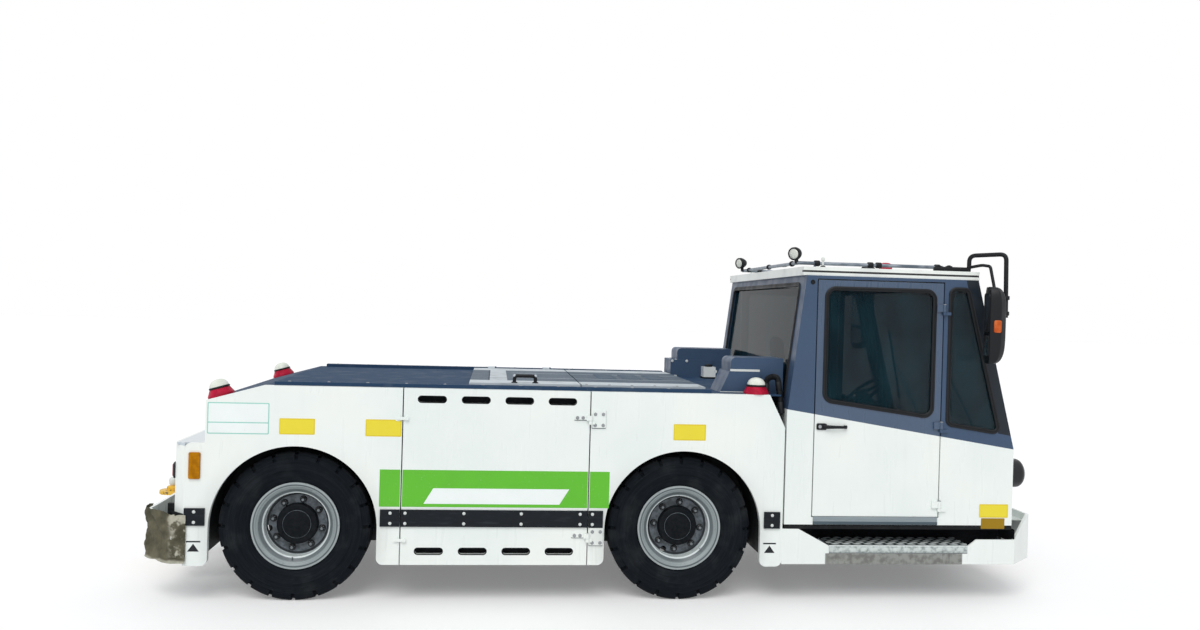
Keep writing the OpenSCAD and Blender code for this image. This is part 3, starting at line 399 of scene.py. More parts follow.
rim_grey = Paint("rim_grey", Coat_Weight=0.1, Specular_IOR_Level=0.4)
radius, angle = hub_distance(rim_grey)
marks = rim_grey.noise(
    1.0, 3.0, place=rim_grey.node("CombineXYZ", (radius * 900, angle * 1.5, rim_grey.y * 300))
)
patches = rim_grey.noise(26.0, 5.0)
flange = rim_grey.mix(rim_grey.ramp(marks, 0.35, 0.7), srgb(84, 94, 98), srgb(138, 148, 150))
# The first ring, at the well's edge, is a painted highlight; the others are lighter and darker
# rings broken up by the turning marks.
for low, high, share, colour in (
    (0.2155, 0.2265, 0.95, srgb(206, 214, 214)), (0.2295, 0.246, 0.5, srgb(70, 78, 82)),
    (0.250, 0.272, 0.6, srgb(158, 167, 168)), (0.2745, 0.2805, 0.75, srgb(52, 58, 62)),
    (0.284, 0.3025, 0.65, srgb(176, 184, 184)),
):
    worn = rim_grey.band(radius, low, high, 0.0018) * rim_grey.ramp(marks, 0.15, 0.55, 0.5, 1.0)
    flange = rim_grey.mix(worn * share, flange, colour)
wall = rim_grey.mix(rim_grey.ramp(patches, 0.35, 0.65), srgb(52, 60, 66), srgb(92, 101, 108))
# A dark ring round the disc's edge is painted shade, and all that lies deeper than the disc's face
# inside it, the hand hole included, is painted near black as shade.
shade = rim_grey.band(radius, 0.196, 0.2135, 0.002)
wall = rim_grey.mix(shade * 0.8, wall, srgb(18, 22, 27))
sunk_shade = rim_grey.ramp(abs(rim_grey.y), 0.936, 0.931) * rim_grey.ramp(radius, 0.206, 0.204)
wall = rim_grey.mix(sunk_shade, wall, srgb(8, 9, 11))
dirt = rim_grey.ramp(rim_grey.noise(60.0, 4.0), 0.6, 0.75) * 0.35
rim_grey.set(
    Base_Color=rim_grey.mix(
        dirt, rim_grey.mix(rim_grey.ramp(radius, 0.2125, 0.2145), wall, flange), srgb(44, 46, 46)
    ),
    Roughness=rim_grey.ramp(marks, 0.3, 0.7, 0.3, 0.52),
).bump(marks, 0.0004)
dress(rim_grey, *["rim_" + name for name in WHEELS])
nut_black = coated(
    "nut_black", srgb(14, 17, 20), rough=0.38, dust=0.06, Specular_IOR_Level=0.35
)
stud_steel = Paint("stud_steel", Metallic=0.9, Roughness=0.3)
stud_steel.set(Base_Color=stud_steel.worn(srgb(112, 118, 122), 0.25, 0.0))
hub_black = coated(
    "hub_black", srgb(8, 13, 18), rough=0.6, peel=0.0004, dust=0.04, Specular_IOR_Level=0.1
)
HUB = [
    (0, 53.4), (91, 53.4), (96, 50.5),
    (99, 47.4), (126, 47.4), (132, 45.5), (136, 41), (136.4, 12), (141, 9), (141, 5.1), (0, 5.1),
]
HUB_SCREW = [(0, 4), (5, 4), (7, 2), (7, -1), (0, -1)]
HUB_BACK = [(88, -27.5), (189, -27.5), (189, -31), (88, -31)]
NUT = [(0, 31.5), (15, 31.5), (20.5, 27.5), (20.5, 10), (0, 10)]
WASHER = [(0, 10.2), (22, 10.2), (25, 8), (25, 4.8), (0, 4.8)]
STUD = [(0, 39), (8, 39), (10.5, 36.5), (10.5, 30), (0, 30)]
NUT_CIRCLE, SCREW_CIRCLE, VALVE_CIRCLE = 167.5, 112, 224


def on_wheel(wheel, angles, distance, out):
    """Points at a distance from a wheel's axis, by angle in degrees, and its outward
    depth from the wheel's middle plane."""
    x, side, turn = wheel
    a = np.radians(np.array(angles, float) + turn)
    return np.stack([
        x + distance * np.cos(a), np.full(a.shape, side * (WHEEL_Y + out)),
        AXLE_Z - side * distance * np.sin(a),
    ], -1)


for name, wheel in WHEELS.items():
    x, side, _ = wheel
    body, out = "wheel_" + name, (0, side, 0)
    centre = (x, side * WHEEL_Y, AXLE_Z)
    seats = on_wheel(wheel, np.arange(8) * 45 + 22.5, NUT_CIRCLE, 0)
    screws = on_wheel(wheel, np.arange(3) * 120 + 20, SCREW_CIRCLE, 47)
    cap = [lathe(HUB, centre, out, 72)] + [lathe(HUB_SCREW, p, out, 12) for p in screws]
    cap.append(lathe(HUB_BACK, centre, out, 48, True))
    piece("hub_cap_" + name, cap, hub_black, body)
    nuts = [lathe(NUT, p, out, 6) for p in seats] + [lathe(WASHER, p, out, 24) for p in seats]
    piece("nuts_" + name, nuts, nut_black, body)
    studs = [lathe(STUD, p, out, 16) for p in seats]
    piece("studs_" + name, studs, stud_steel, body)
    valve = on_wheel(wheel, [74, 74], VALVE_CIRCLE, 0)
    valve = valve + np.array([[0, side * 62, 0], [0, side * 98, 0]])
    piece("valve_" + name, [sweep(valve, disc(4, 10), (1, 0, 0))], stud_steel, body)

# Tyres: pneumatic truck tyres in black rubber, moulded with twenty shoulder notches
# a side and four zigzag grooves; the sidewalls are dusty.
SIDEWALL = np.array([
    (255, 58), (255, 95), (262, 98), (295, 97), (303, 98), (309, 103), (317, 109), (321, 109.5),
    (326, 113), (345, 121.5), (365, 128.5), (382, 132.8), (385, 135.8), (390, 136), (393, 133.8),
    (410, 136.6), (430, 136.2), (445, 134.2), (448, 135.8), (452, 133.2), (463, 130.2),
    (477, 125.2), (489, 120), (497, 114.5), (502.5, 107.5), (505, 98), (505, 84), (505, 67),
    (500, 64.5), (493, 62.5), (493, 52.5), (500, 50.5), (505, 48), (505, 36), (505, 22),
    (500, 19.5), (493, 17.5), (493, 8.5), (500, 6.5), (505, 4),
])
LINING = np.array([(478, 60), (460, 105), (400, 112), (340, 92), (300, 84)])


def tyre_part(x, side):
    """P(a, k) = (r(k, a), w(k, a)) turned by a: the radius drops to 487 in a notch
    every 18 degrees, and the grooves' w swings as a triangle wave of 5 mm."""
    outer = np.vstack([SIDEWALL, SIDEWALL[::-1] * (1, -1)])
    inner = np.vstack([LINING * (1, -1), LINING[::-1]])
    profile = np.vstack([outer, inner])
    pitch = np.array([-1.5, -1.2, 0, 1.2, 1.5, 4.5, 7.5, 7.8, 9, 10.2, 10.5, 13.5])
    angle = (np.arange(20)[:, None] * 18 + pitch).ravel()
    r = np.broadcast_to(profile[:, 0], (len(angle), len(profile))).copy()
    w = np.broadcast_to(profile[:, 1], r.shape).copy()
    phase = np.where(w > 0, angle[:, None], angle[:, None] + 9) % 18
    near = np.minimum(phase, 18 - phase)
    notch = (near < 1.3) & (np.arange(len(profile)) < len(outer)) & (abs(w) > 64) & (r > 455)
    w = np.where(notch & (abs(w) > 110), np.sign(w) * np.minimum(abs(w), 111), w)
    r = np.where(notch, np.minimum(r, 487), r)
    swing = (abs((angle / 18) % 1 - 0.5) * 4 - 1) * 5
    groove = (abs(w) < 66) & (r > 480)
    w = w + np.where(groove & (abs(w) > 2), swing[:, None], 0)
    a = np.radians(angle)[:, None]
    points = np.stack([x + r * np.cos(a), side * (WHEEL_Y + w), AXLE_Z + r * np.sin(a)], -1)
    return net(points, loop=True)


tyre_rubber = Paint("tyre_rubber", Specular_IOR_Level=0.06)
radius, angle = hub_distance(tyre_rubber)
turned = tyre_rubber.node("CombineXYZ", (radius * 260, angle * 2.0, tyre_rubber.y * 60))
rings = tyre_rubber.noise(1.0, 2.0, place=turned)
dusty = tyre_rubber.noise(7.0, 5.0)
tone = tyre_rubber.mix(tyre_rubber.ramp(rings, 0.3, 0.7), srgb(12, 16, 20), srgb(24, 29, 35))
cover = tyre_rubber.ramp(dusty, 0.45, 0.75) * 0.12 + tyre_rubber.ramp(radius, 0.485, 0.506) * 0.1
tyre_rubber.set(
    Base_Color=tyre_rubber.mix(cover, tone, srgb(92, 94, 94)),
    Roughness=tyre_rubber.ramp(dusty, 0.3, 0.7, 0.55, 0.85),
).bump(rings + tyre_rubber.noise(160.0, 3.0) * 0.6, 0.0007)
for name, (x, side, _) in WHEELS.items():
    piece(
        "tread_" + name, [tyre_part(x, side)], tyre_rubber, "wheel_" + name, 50,
        ["tyre_" + name],
    )

# Body panels: fenders and battery doors of folded steel, in white two-pack paint
# over filler, slightly wavy, with streaks under the slots and spray behind wheels.
WHITE, CHARCOAL = srgb(237, 241, 236), srgb(44, 47, 52)
NOSE_LEAN, REAR_LEAN = 0.2485, 0.12


def inside_shade(paint):
    """1 on the cab's inner faces, which are painted charcoal as the shade inside the cab:
    between the side walls, behind the nose at x = 2.91 - 0.2485 max(0, z - 1.101) and
    ahead of the rear wall at x = 1.225 + 0.12 max(0, z - 1.33)."""
    rake = (paint.z - 1.101) * NOSE_LEAN
    nose = 2.91 - rake.at_least(0.0) - paint.x
    lean = (paint.z - 1.33) * REAR_LEAN
    rear = paint.x - 1.225 - lean.at_least(0.0)
    side = paint.ramp(abs(paint.y), 1.087, 1.084) * paint.ramp(rear, 0.032, 0.037)
    return side * paint.ramp(nose, 0.02, 0.024) * paint.ramp(paint.z, 0.53, 0.545)


def white_gloss(name):
    """White paint and its colour: darker in upright streaks, dusty from road spray
    within 0.68 m of a wheel's axis, and charcoal on the cab's inner faces as painted shade."""
    paint = Paint(name, Coat_Weight=0.35, Coat_Roughness=0.08)
    streaks = paint.noise(4.0, 5.0, stretch=(4, 4, 0.4))
    patches = paint.noise(1.4, 3.0)
    radius, _ = hub_distance(paint)
    spray = paint.ramp(radius + (streaks - 0.5) * 0.1, 0.68, 0.54) * paint.ramp(paint.z, 1.2, 0.5)
    tone = paint.mix(paint.ramp(patches, 0.3, 0.7), WHITE, srgb(229, 236, 233))
    tone = paint.mix(paint.ramp(streaks, 0.5, 0.9) * 0.12, tone, srgb(196, 203, 200))
    tone = paint.mix(spray * 0.35, tone, srgb(168, 170, 168))
    # Charcoal on the cab's inner faces is painted shade.
    tone = paint.mix(inside_shade(paint), tone, CHARCOAL)
    paint.set(Roughness=paint.ramp(streaks, 0.3, 0.7, 0.24, 0.42))
    return paint.bump(paint.noise(5.0, 1.0) * 4 + paint.noise(420.0, 2.0) * 0.1, 0.0009), tone


white_paint, tone = white_gloss("white_paint")
white_paint.set(Base_Color=tone)
dress(
    white_paint, "rear_fenders", "front_fenders", "side_door_right", "side_door_left",
    "cab_lower", "bumpers",
)

# Rear body between the fenders: one folded sheet. The wall and the shelf are white,
# and the slope up to the deck is slate like the deck itself.
SLATE = srgb(60, 80, 106)
rear_paint, tone = white_gloss("rear_paint")
slope = rear_paint.ramp(rear_paint.z, 1.352, 1.356)
shelf = rear_paint.band(rear_paint.z, 1.05, 1.075) * rear_paint.ramp(rear_paint.x, -2.925, -2.92)
tone = rear_paint.mix(shelf * 0.8, tone, srgb(178, 190, 200))
rear_paint.set(
    Base_Color=rear_paint.mix(slope, tone, rear_paint.worn(srgb(44, 64, 88), 0.12)),
    Roughness=slope * 0.6 + 0.3, Coat_Weight=0.35 - slope * 0.35,
)
dress(rear_paint, "rear_body")

# Fender and door fittings: zinc bolts at the hinges with grey strips of painted
# shadow under them, a strap latch with its keeper at each end of the battery door's
# free edge, and pressed rims round the air slots, black like the mat behind them, as
# painted shade in the slots.
PANEL_Y = 1125.0
SIDES = {"right": -1, "left": 1}
zinc = Paint("zinc", Metallic=0.75, Roughness=0.38)
zinc.set(Base_Color=zinc.worn(srgb(150, 153, 156), 0.25, 0.2))
BOLT = [(0, 7), (8, 7), (10, 5.5), (10, 1.8), (13, 1.6), (13, 0), (0, 0)]
LATCH_STUD = [(0, 16), (12, 16), (14, 14), (14, 0), (0, 0)]
HINGE_ZS, LATCH_ZS = (450, 1262), (430, 1256)
SLOT_XS, SLOT_ZS = 902 + 296 * np.arange(4), (355, 1388)
SLOT_RIM = [(-3, -1), (-3, 1), (-1.5, 2), (2.5, 2), (4, 1), (4, -1)]


def bolts(places, side, out, profile=BOLT, steps=6):
    """Bolt heads at (x, z) places on a side, out from the panels' face."""
    return [
        lathe(profile, (x, side * (PANEL_Y + out), z), (0, side, 0), steps) for x, z in places
    ]


def on_side(outline, side, near, far, edge=0.8):
    """A plate on one side of the vehicle, from near to far out of the panels' face."""
    return plate(outline, side * (PANEL_Y + near), side * (PANEL_Y + far), "y", edge)


def round_edge(outline, side, section):
    """A closed strip of one section that follows an outline on the panels' face."""
    path = np.stack([outline[:, 0], np.full(len(outline), side * PANEL_Y), outline[:, 1]], -1)
    return sweep(path, section, (0, side, 0), True)


# Near-black for sheets and rims that stand in for shade.
shade_black = coated(
    "shade_black", srgb(12, 14, 17), rough=0.85, peel=0.002, dust=0.0, Specular_IOR_Level=0.15
)
# Grey for the painted shadows under the hinge plates and straps.
shadow_grey = coated("shadow_grey", srgb(96, 104, 106), rough=0.7, dust=0.1, Specular_IOR_Level=0.1)
for name, side in SIDES.items():
    body = "side_door_" + name
    fixed = [(x, z + dz) for z in HINGE_ZS for dz in (-32, 44) for x in (2017, 2072)]
    straps = [(x, z + 18) for z in HINGE_ZS for x in (1893, 1932)]
    piece(f"hinge_bolts_{name}", bolts(fixed, side, 10), zinc)
    # Grey strips under each hinge plate and down its outer edge, and under each strap, are painted
    # shadow.
    under = [on_side(oblong(1994, 2089, z - 56, z - 50, 2), side, 0, 1.2, 0.4) for z in HINGE_ZS]
    under += [on_side(oblong(2090, 2093, z - 54, z + 69, 1), side, 0, 1.0, 0.3) for z in HINGE_ZS]
    piece(f"hinge_shadows_{name}", under, shadow_grey)
    under = [on_side(oblong(1872, 1970, z - 2, z + 3.6, 2), side, 0, 1.2, 0.4) for z in HINGE_ZS]
    piece(f"strap_shadows_{name}", under, shadow_grey, body)
    piece(f"strap_bolts_{name}", bolts(straps, side, 10), zinc, body)
    strap = [on_side(oblong(668, 748, z - 11, z + 11, 9), side, 5, 12, 2) for z in LATCH_ZS]
    strap += bolts([(736, z) for z in LATCH_ZS], side, 0, LATCH_STUD, 24)
    piece(f"latches_{name}", strap, white_paint, body, 30)
    keeper = [on_side(oblong(660, 692, z - 19, z + 19, 5), side, 0, 4) for z in LATCH_ZS]
    piece(f"keepers_{name}", keeper, white_paint)
    # The slot rims and the mat behind the slots are black as painted shade inside the slots.
    rims = [
        round_edge(oblong(x - 94, x + 94, z - 21, z + 21, 20.9, 10), side, SLOT_RIM)
        for x in SLOT_XS for z in SLOT_ZS
    ]
    piece(f"slot_rims_{name}", rims, shade_black, body, 60)
    mats = [on_side(oblong(790, 1902, z - 45, z + 45, 8), side, -44, -40.5) for z in SLOT_ZS]
    piece(f"slot_shade_mats_{name}", mats, shade_black, body)

# Rub strips: hard black rubber along both sides at bumper height, each held by
# pairs of pale pan-head bolts.
rub_black = Paint("rub_black", Specular_IOR_Level=0.2)
scuffs = rub_black.noise(30.0, 5.0, stretch=(0.25, 1, 1.6))
scuffed = rub_black.ramp(scuffs, 0.5, 0.75) * 0.5
rub_black.set(
    Base_Color=rub_black.mix(scuffed, srgb(15, 20, 26), srgb(52, 58, 64)),
    Roughness=rub_black.ramp(scuffs, 0.3, 0.7, 0.45, 0.75),
).bump(scuffs + rub_black.noise(300.0, 2.0) * 0.4, 0.0006)
dress(rub_black, "rub_strips", "door_strip_right", "door_strip_left")
pale_bolt = coated("pale_bolt", srgb(205, 210, 208), rough=0.35, dust=0.1)
PAN = [(0, 4.5), (5, 4.2), (9, 2.8), (11, 0.6), (11, 0), (0, 0)]
STRIP_BOLTS = {"": (-640, 640, 2015, 3286), "door_": (740, 1135, 1525, 1930)}
for name, side in SIDES.items():
    for kind, xs in STRIP_BOLTS.items():
        heads = bolts([(x, z) for x in xs for z in (545, 615)], side, 12, PAN, 20)
        body = "side_door_" + name if kind else "chassis"
        piece(f"{kind}strip_bolts_{name}", heads, pale_bolt, body)

# Vinyl on the side panels: a green band across the door with a blank slanted panel,
# blank yellow and orange plates, a blank plate framed in mint, and jacking marks.
def vinyl(name, colour, edge_colour=None):
    """Printed film: its colour fades in clouds and shows another one in fine specks."""
    paint = Paint(name, Coat_Weight=0.05, Specular_IOR_Level=0.25)
    fade = paint.noise(6.0, 3.0)
    fine = paint.noise(70.0, 2.0)
    tone = paint.scaled(colour, 0.94 + fade * 0.1 + fine * 0.03)
    tone = paint.mix(paint.ramp(fine, 0.66, 0.8) * 0.3, tone, edge_colour or srgb(190, 190, 180))
    paint.set(Base_Color=tone, Roughness=paint.ramp(fade, 0.3, 0.7, 0.28, 0.42))
    return paint.bump(paint.noise(55.0, 3.0), 0.00025)


green = vinyl("green_vinyl", srgb(96, 184, 48))
white_vinyl = vinyl("white_vinyl", srgb(236, 242, 240))
yellow = vinyl("yellow_vinyl", srgb(222, 200, 44), srgb(190, 160, 30))
yellow_face = vinyl("yellow_face", srgb(230, 212, 58), srgb(206, 186, 48))
orange = vinyl("orange_vinyl", srgb(150, 116, 0), srgb(120, 92, 8))
mint = vinyl("mint_vinyl", srgb(150, 208, 194))
black_vinyl = vinyl("black_vinyl", srgb(24, 27, 32), srgb(60, 62, 66))
BAND_ZS = (656, 908)
SLANT = [[860, 678], [1784, 678], [1850, 784], [924, 784]]
PLATES = [
    (-106, 128, 1136, 1244), (461, 701, 1131, 1246), (2567, 2797, 1133, 1246),
    (4812, 5030, 607, 704),
]
for name, side in SIDES.items():
    door = "side_door_" + name

    def label(title, outlines, paint, body="chassis", near=0.0, far=0.7):
        """One piece of film in several outlines, on this side's panels."""
        parts = [on_side(np.array(outline, float), side, near, far, 0.3) for outline in outlines]
        piece(f"{title}_{name}", parts, paint, body, 20)

    ends = [oblong(563, 701, *BAND_ZS), oblong(1991, 2128, *BAND_ZS)]
    label("green_ends", ends, green)
    label("green_band", [oblong(715, 1977, *BAND_ZS)], green, door)
    label("slant_panel", [SLANT], white_vinyl, door, 0.7, 1.3)
    label("yellow_plates", [oblong(*edges, 6) for edges in PLATES], yellow)
    faces = [oblong(x0 + 8, x1 - 8, z0 + 8, z1 - 8, 4) for x0, x1, z0, z1 in PLATES]
    label("yellow_faces", faces, yellow_face, near=0.7, far=1.4)
    label("orange_plate", [oblong(4828, 5006, 527, 603, 5)], orange)
    label("blank_plate_frame", [oblong(-572, -172, 1134, 1344, 8)], mint)
    faces = [oblong(-565, -179, 1214, 1337, 5), oblong(-565, -179, 1141, 1207, 5)]
    label("blank_plate_faces", faces, white_vinyl, near=0.7, far=1.1)
    marks = []
    for x in (-642, 3274):
        marks += [oblong(x - 46, x + 46, 410, 420), [[x - 38, 349], [x + 38, 349], [x, 401]]]
    label("jack_marks", marks, black_vinyl)

# Deck: slate painted plate with a raised edge down each side, a fixed cover with
# pressed louvres, and a light grey battery hatch with an anti-slip pattern.
HATCH_GREY = srgb(196, 204, 208)
deck_slate = Paint("deck_slate", Specular_IOR_Level=0.06)


def on_mat(paint):
    """1 on the covers' anti-slip mat, |y| < 582 mm."""
    return paint.ramp(abs(paint.y), 0.584, 0.58)


def cover_tone(paint, wear, studs):
    """The covers' colour: a slate anti-slip mat, pale where the sheet is bare beside
    it, across the strip at x = -0.80 and on one seam each side."""
    mat = on_mat(paint)
    strip = paint.band(paint.x, -0.867, -0.737) * paint.ramp(abs(paint.y), 0.78, 0.776)
    seam = paint.band(abs(paint.y), 0.262, 0.278) * paint.ramp(paint.x, -0.7, -0.69)
    bare = 1 - mat * (1 - strip) * (1 - seam)
    gap = paint.band(paint.x, -0.877, -0.869) * mat
    slate = paint.mix(paint.ramp(wear, 0.45, 0.7) * 0.5, srgb(82, 96, 110), srgb(116, 128, 138))
    slate = paint.mix(studs * 0.5, slate, srgb(130, 140, 148))
    pale = paint.mix(paint.ramp(wear, 0.48, 0.72) * 0.5, HATCH_GREY, srgb(150, 156, 160))
    return paint.mix(gap, paint.mix(bare, slate, pale), srgb(34, 40, 48))


def diamonds(paint, top):
    """Raised diamonds: |sin 150 (x + y) sin 150 (x - y)| above 0.55, on the mat."""
    waves = ((paint.x + paint.y) * 150).sine() * ((paint.x - paint.y) * 150).sine()
    return paint.ramp(abs(waves), 0.55, 0.85) * on_mat(paint) * top


grit = deck_slate.noise(260.0, 2.0)
wear = deck_slate.noise(7.0, 5.0)
on_cover = (
    deck_slate.band(deck_slate.x, -0.2102, 0.689) * deck_slate.band(abs(deck_slate.y), -1, 0.8705)
    * deck_slate.ramp(deck_slate.z, 1.463, 1.466)
)
slate_worn = deck_slate.mix(
    deck_slate.ramp(wear, 0.52, 0.7) * 0.4, srgb(44, 66, 92), srgb(76, 92, 110)
)
studs = diamonds(deck_slate, on_cover)
deck_slate.set(
    Base_Color=deck_slate.mix(on_cover, slate_worn, cover_tone(deck_slate, wear, studs)),
    Roughness=deck_slate.ramp(wear, 0.3, 0.7, 0.55, 0.75),
).bump(grit * 0.6 + wear * 0.5 + studs, 0.0012)
dress(deck_slate, "deck")
hatch_grey = Paint("hatch_grey", Specular_IOR_Level=0.1)
wear = hatch_grey.noise(7.0, 5.0)
studs = diamonds(hatch_grey, hatch_grey.ramp(hatch_grey.z, 1.486, 1.4878))
hatch_grey.set(
    Base_Color=cover_tone(hatch_grey, wear, studs),
    Roughness=hatch_grey.ramp(wear, 0.3, 0.7, 0.5, 0.7),
).bump(studs + hatch_grey.noise(300.0, 2.0) * 0.1, 0.0014)
dress(hatch_grey, "deck_hatch")
edge_top, cover_top = 1486.0, 1488.0
t = np.linspace(0, math.pi, 9)
swell = np.sin(t).clip(0.25)[:, None, None] ** 0.5
hump = np.stack([16 * np.cos(t), 9 * np.sin(t)], -1)[None] * swell - (0, 0.4)
ridge = np.stack([np.linspace(-75, 75, 9), np.zeros(9), np.full(9, cover_top)], -1)
louvre = sweep(ridge, hump, (0, 0, 1))
places = [(x, y, 0) for x in (2200, 2400, 2600) for y in np.arange(-210, 211, 42)]
piece("cover_louvres", moved(louvre, *places), hatch_grey, sharp=50)
places = [(x, y, edge_top) for x in np.arange(-60, 2800, 260) for y in (-1050, 1050)]
places += [(x, y, cover_top) for x in np.linspace(1975, 2800, 6) for y in (-850, 850)]
heads = [lathe(PAN, place, (0, 0, 1), 16) for place in places]
piece("deck_bolts", heads, zinc)
grip_black = Paint("grip_black", Specular_IOR_Level=0.25)
grip_black.set(Base_Color=grip_black.worn(srgb(16, 19, 23), 0.3, 0.0), Roughness=0.55)
grip_black.bump(grip_black.noise(500.0, 2.0), 0.0004)
grip_x0, grip_x1, grip_y = 1460, 1610, -810
low, high = cover_top - 4, cover_top + 50
grip_path = [
    [grip_x0, grip_y, low], [grip_x0, grip_y, high],
    [grip_x1, grip_y, high], [grip_x1, grip_y, low],
]
GRIP_FOOT = [(0, 9), (18, 9), (22, 5), (22, 0), (0, 0)]
grip = [sweep(bends(grip_path, 24), disc(12.5, 16), (0, 1, 0))]
grip += [lathe(GRIP_FOOT, (x, grip_y, cover_top - 0.5), (0, 0, 1), 24) for x in (grip_x0, grip_x1)]
piece("hatch_grip", grip, grip_black, "deck_hatch")

# Cowls behind the cab and the filler box beside the left one: folded boxes with
# bolted lids, a pale strip on the near cowl under its ledge as a painted highlight,
# another along its foot, and a black cap on the filler. A ribbed rubber duct leads
# down from each cowl.
slate_paint = coated(
    "slate_paint", SLATE, rough=0.42, mottle=0.12, dust=0.1, Specular_IOR_Level=0.22
)
dress(slate_paint, "cowls")
# The upper strip, under the near cowl's ledge, is a painted highlight on that edge; the lower one
# runs along the cowl's foot.
strip = [
    plate(oblong(2996, 3212, 1613, 1629, 3), -960, -967, "y"),
    plate(oblong(2925, 3212, 1463, 1469, 2), -969, -973, "y"),
]
piece("cowl_strip", strip, pale_bolt)
heads = [lathe(PAN, (2895, y, 1612), (0, 0, 1), 16) for y in (660, 950)]
heads += [lathe(BOLT, (x, 645, z), (0, -1, 0), 6) for x, z in ((2862, 1600), (2990, 1600))]
heads += [lathe(BOLT, (x, -645, z), (0, 1, 0), 6) for x in (2960, 3180) for z in (1490, 1590)]
piece("cowl_bolts", heads, pale_bolt)
foot = plate(oblong(2850, 2905, 640, 652, 3), 1463, 1476, "z", 3)
piece("cowl_foot", [foot], pale_bolt)
filler_white = coated("filler_white", srgb(226, 230, 228), rough=0.3, dust=0.2)
dress(filler_white, "filler_box")
FILLER_CAP = [(0, 22), (20, 22), (31, 19), (34, 15), (34, 0.5), (0, 0.5)]
cap = lathe(FILLER_CAP, (3155.5, 512.5, 1562), (0, 0, 1), 12)
foot = plate(oblong(3096, 3215, 453, 572, 6), 1462.2, 1476, "z", 2)
piece("filler_cap", [cap, foot], grip_black)
duct_path = bends([
    [3238, -1048, 1466], [3240, -1048, 1578], [3318, -1052, 1592], [3338, -1056, 1450],
    [3352, -1058, 1330],
], 40, 30)
duct_radius = np.minimum(21 + 3.2 * np.sin(np.arange(len(duct_path)) * 2.1), 22.5)
duct = sweep(duct_path, disc(1.0, 16)[None] * duct_radius[:, None, None], (0, 1, 0))
piece("air_duct", both([duct]), grip_black, sharp=60)

# Cab: a welded shell, white below a slanting line and slate above, with black
# rubber seals round the tinted panes, darkened further as painted shade, flush doors
# and an aluminium threshold.
cab_slate = coated("cab_slate", SLATE, rough=0.4, Coat_Weight=0.05, Specular_IOR_Level=0.3)
post = cab_slate.x - 2.8165 + (cab_slate.z - 1.101) * NOSE_LEAN
sill_line = cab_slate.z - 1.363 + (cab_slate.x - 1.225) * 0.156
post = cab_slate.ramp(post, 0.0, 0.004) * cab_slate.ramp(sill_line, 0.094, 0.096)
lined = cab_slate.mix(post, cab_slate.worn(SLATE, 0.12, 0.1), srgb(22, 31, 40))
# Charcoal on the cab's inner faces is painted shade.
lined = cab_slate.mix(inside_shade(cab_slate), lined, CHARCOAL)
cab_slate.set(Base_Color=lined)
dress(cab_slate, "cab_upper")
door_paint, tone = white_gloss("door_paint")
line = 1.363 - 0.156 * (door_paint.x - 1.225)
above = door_paint.ramp(door_paint.z - line, -0.0006, 0.0006)
# The door's inner face is charcoal as painted shade.
slate = door_paint.mix(inside_shade(door_paint), door_paint.worn(SLATE, 0.12, 0.1), CHARCOAL)
door_paint.set(Base_Color=door_paint.mix(above, tone, slate))
dress(door_paint, "cab_door_right", "cab_door_left")
floor_rubber = coated(
    "floor_rubber", srgb(20, 21, 23), rough=0.8, peel=0.0015, dust=0.05, Specular_IOR_Level=0.2
)
dress(floor_rubber, "cab_floor")
glass = Paint(
    "window_glass", Alpha=0.66, IOR=1.5, Coat_Weight=0.0, Specular_IOR_Level=0.08
)
# The panes' dark teal is partly their tint and partly painted shade that darkens the cab seen
# through them.
smear = glass.noise(6.0, 4.0, stretch=(1, 1, 0.4))
glass.set(
    Base_Color=glass.mix(glass.ramp(smear, 0.3, 0.7), srgb(6, 28, 37), srgb(18, 48, 57)),
    Roughness=glass.ramp(smear, 0.35, 0.7, 0.02, 0.09),
)
dress(glass, "cab_glass", "door_glass_right", "door_glass_left")
seal_black = coated(
    "seal_black", srgb(14, 17, 21), rough=0.5, peel=0.0003, dust=0.0, Specular_IOR_Level=0.3
)
SEAL = [(-17, -2), (-17, 5), (-13, 8), (-4, 9), (-2, 6), (2, 6), (4, 9), (11, 8), (14, 4), (14, -2)]


CAB_FRONT, CAB_REAR = 5060, 3375


def nose_x(z):
    """The windscreen's plane: X = 5060 - 0.2485 (z - 1101)."""
    return CAB_FRONT - NOSE_LEAN * (np.array(z) - 1101)


def rear_x(z):
    """The rear wall's plane: X = 3375 + 0.12 (z - 1330)."""
    return CAB_REAR + REAR_LEAN * (np.array(z) - 1330)


door_window = rounded([[3643, 1433], [3643, 2223], [4434, 2223], [4434, 1326]], 60, 10)
quarter = rounded([[4556, 1278], [4556, 2242], [4681, 2242], [4945, 1220]], 36, 10)
for name, side in SIDES.items():
    for title, outline, body in (
        ("door_seal", door_window, "cab_door_" + name), ("quarter_seal", quarter, "chassis"),
    ):
        seal = [round_edge(outline, side, SEAL)]
        piece(f"{title}_{name}", seal, seal_black, body, 50)
screen = rounded([[-1040, 1161], [-1040, 2258], [1040, 2258], [1040, 1161]], 50, 8)
back = rounded([[-995, 1433], [-995, 2253], [995, 2253], [995, 1433]], 50, 8)
parts = []
for outline, wall_x, facing in (
    (screen, nose_x, (1, 0, NOSE_LEAN)), (back, rear_x, (-1, 0, REAR_LEAN)),
):
    path = np.stack([wall_x(outline[:, 1]), outline[:, 0], outline[:, 1]], -1)
    parts.append(sweep(path, SEAL, unit(facing), True))
piece("screen_seals", parts, seal_black, sharp=50)

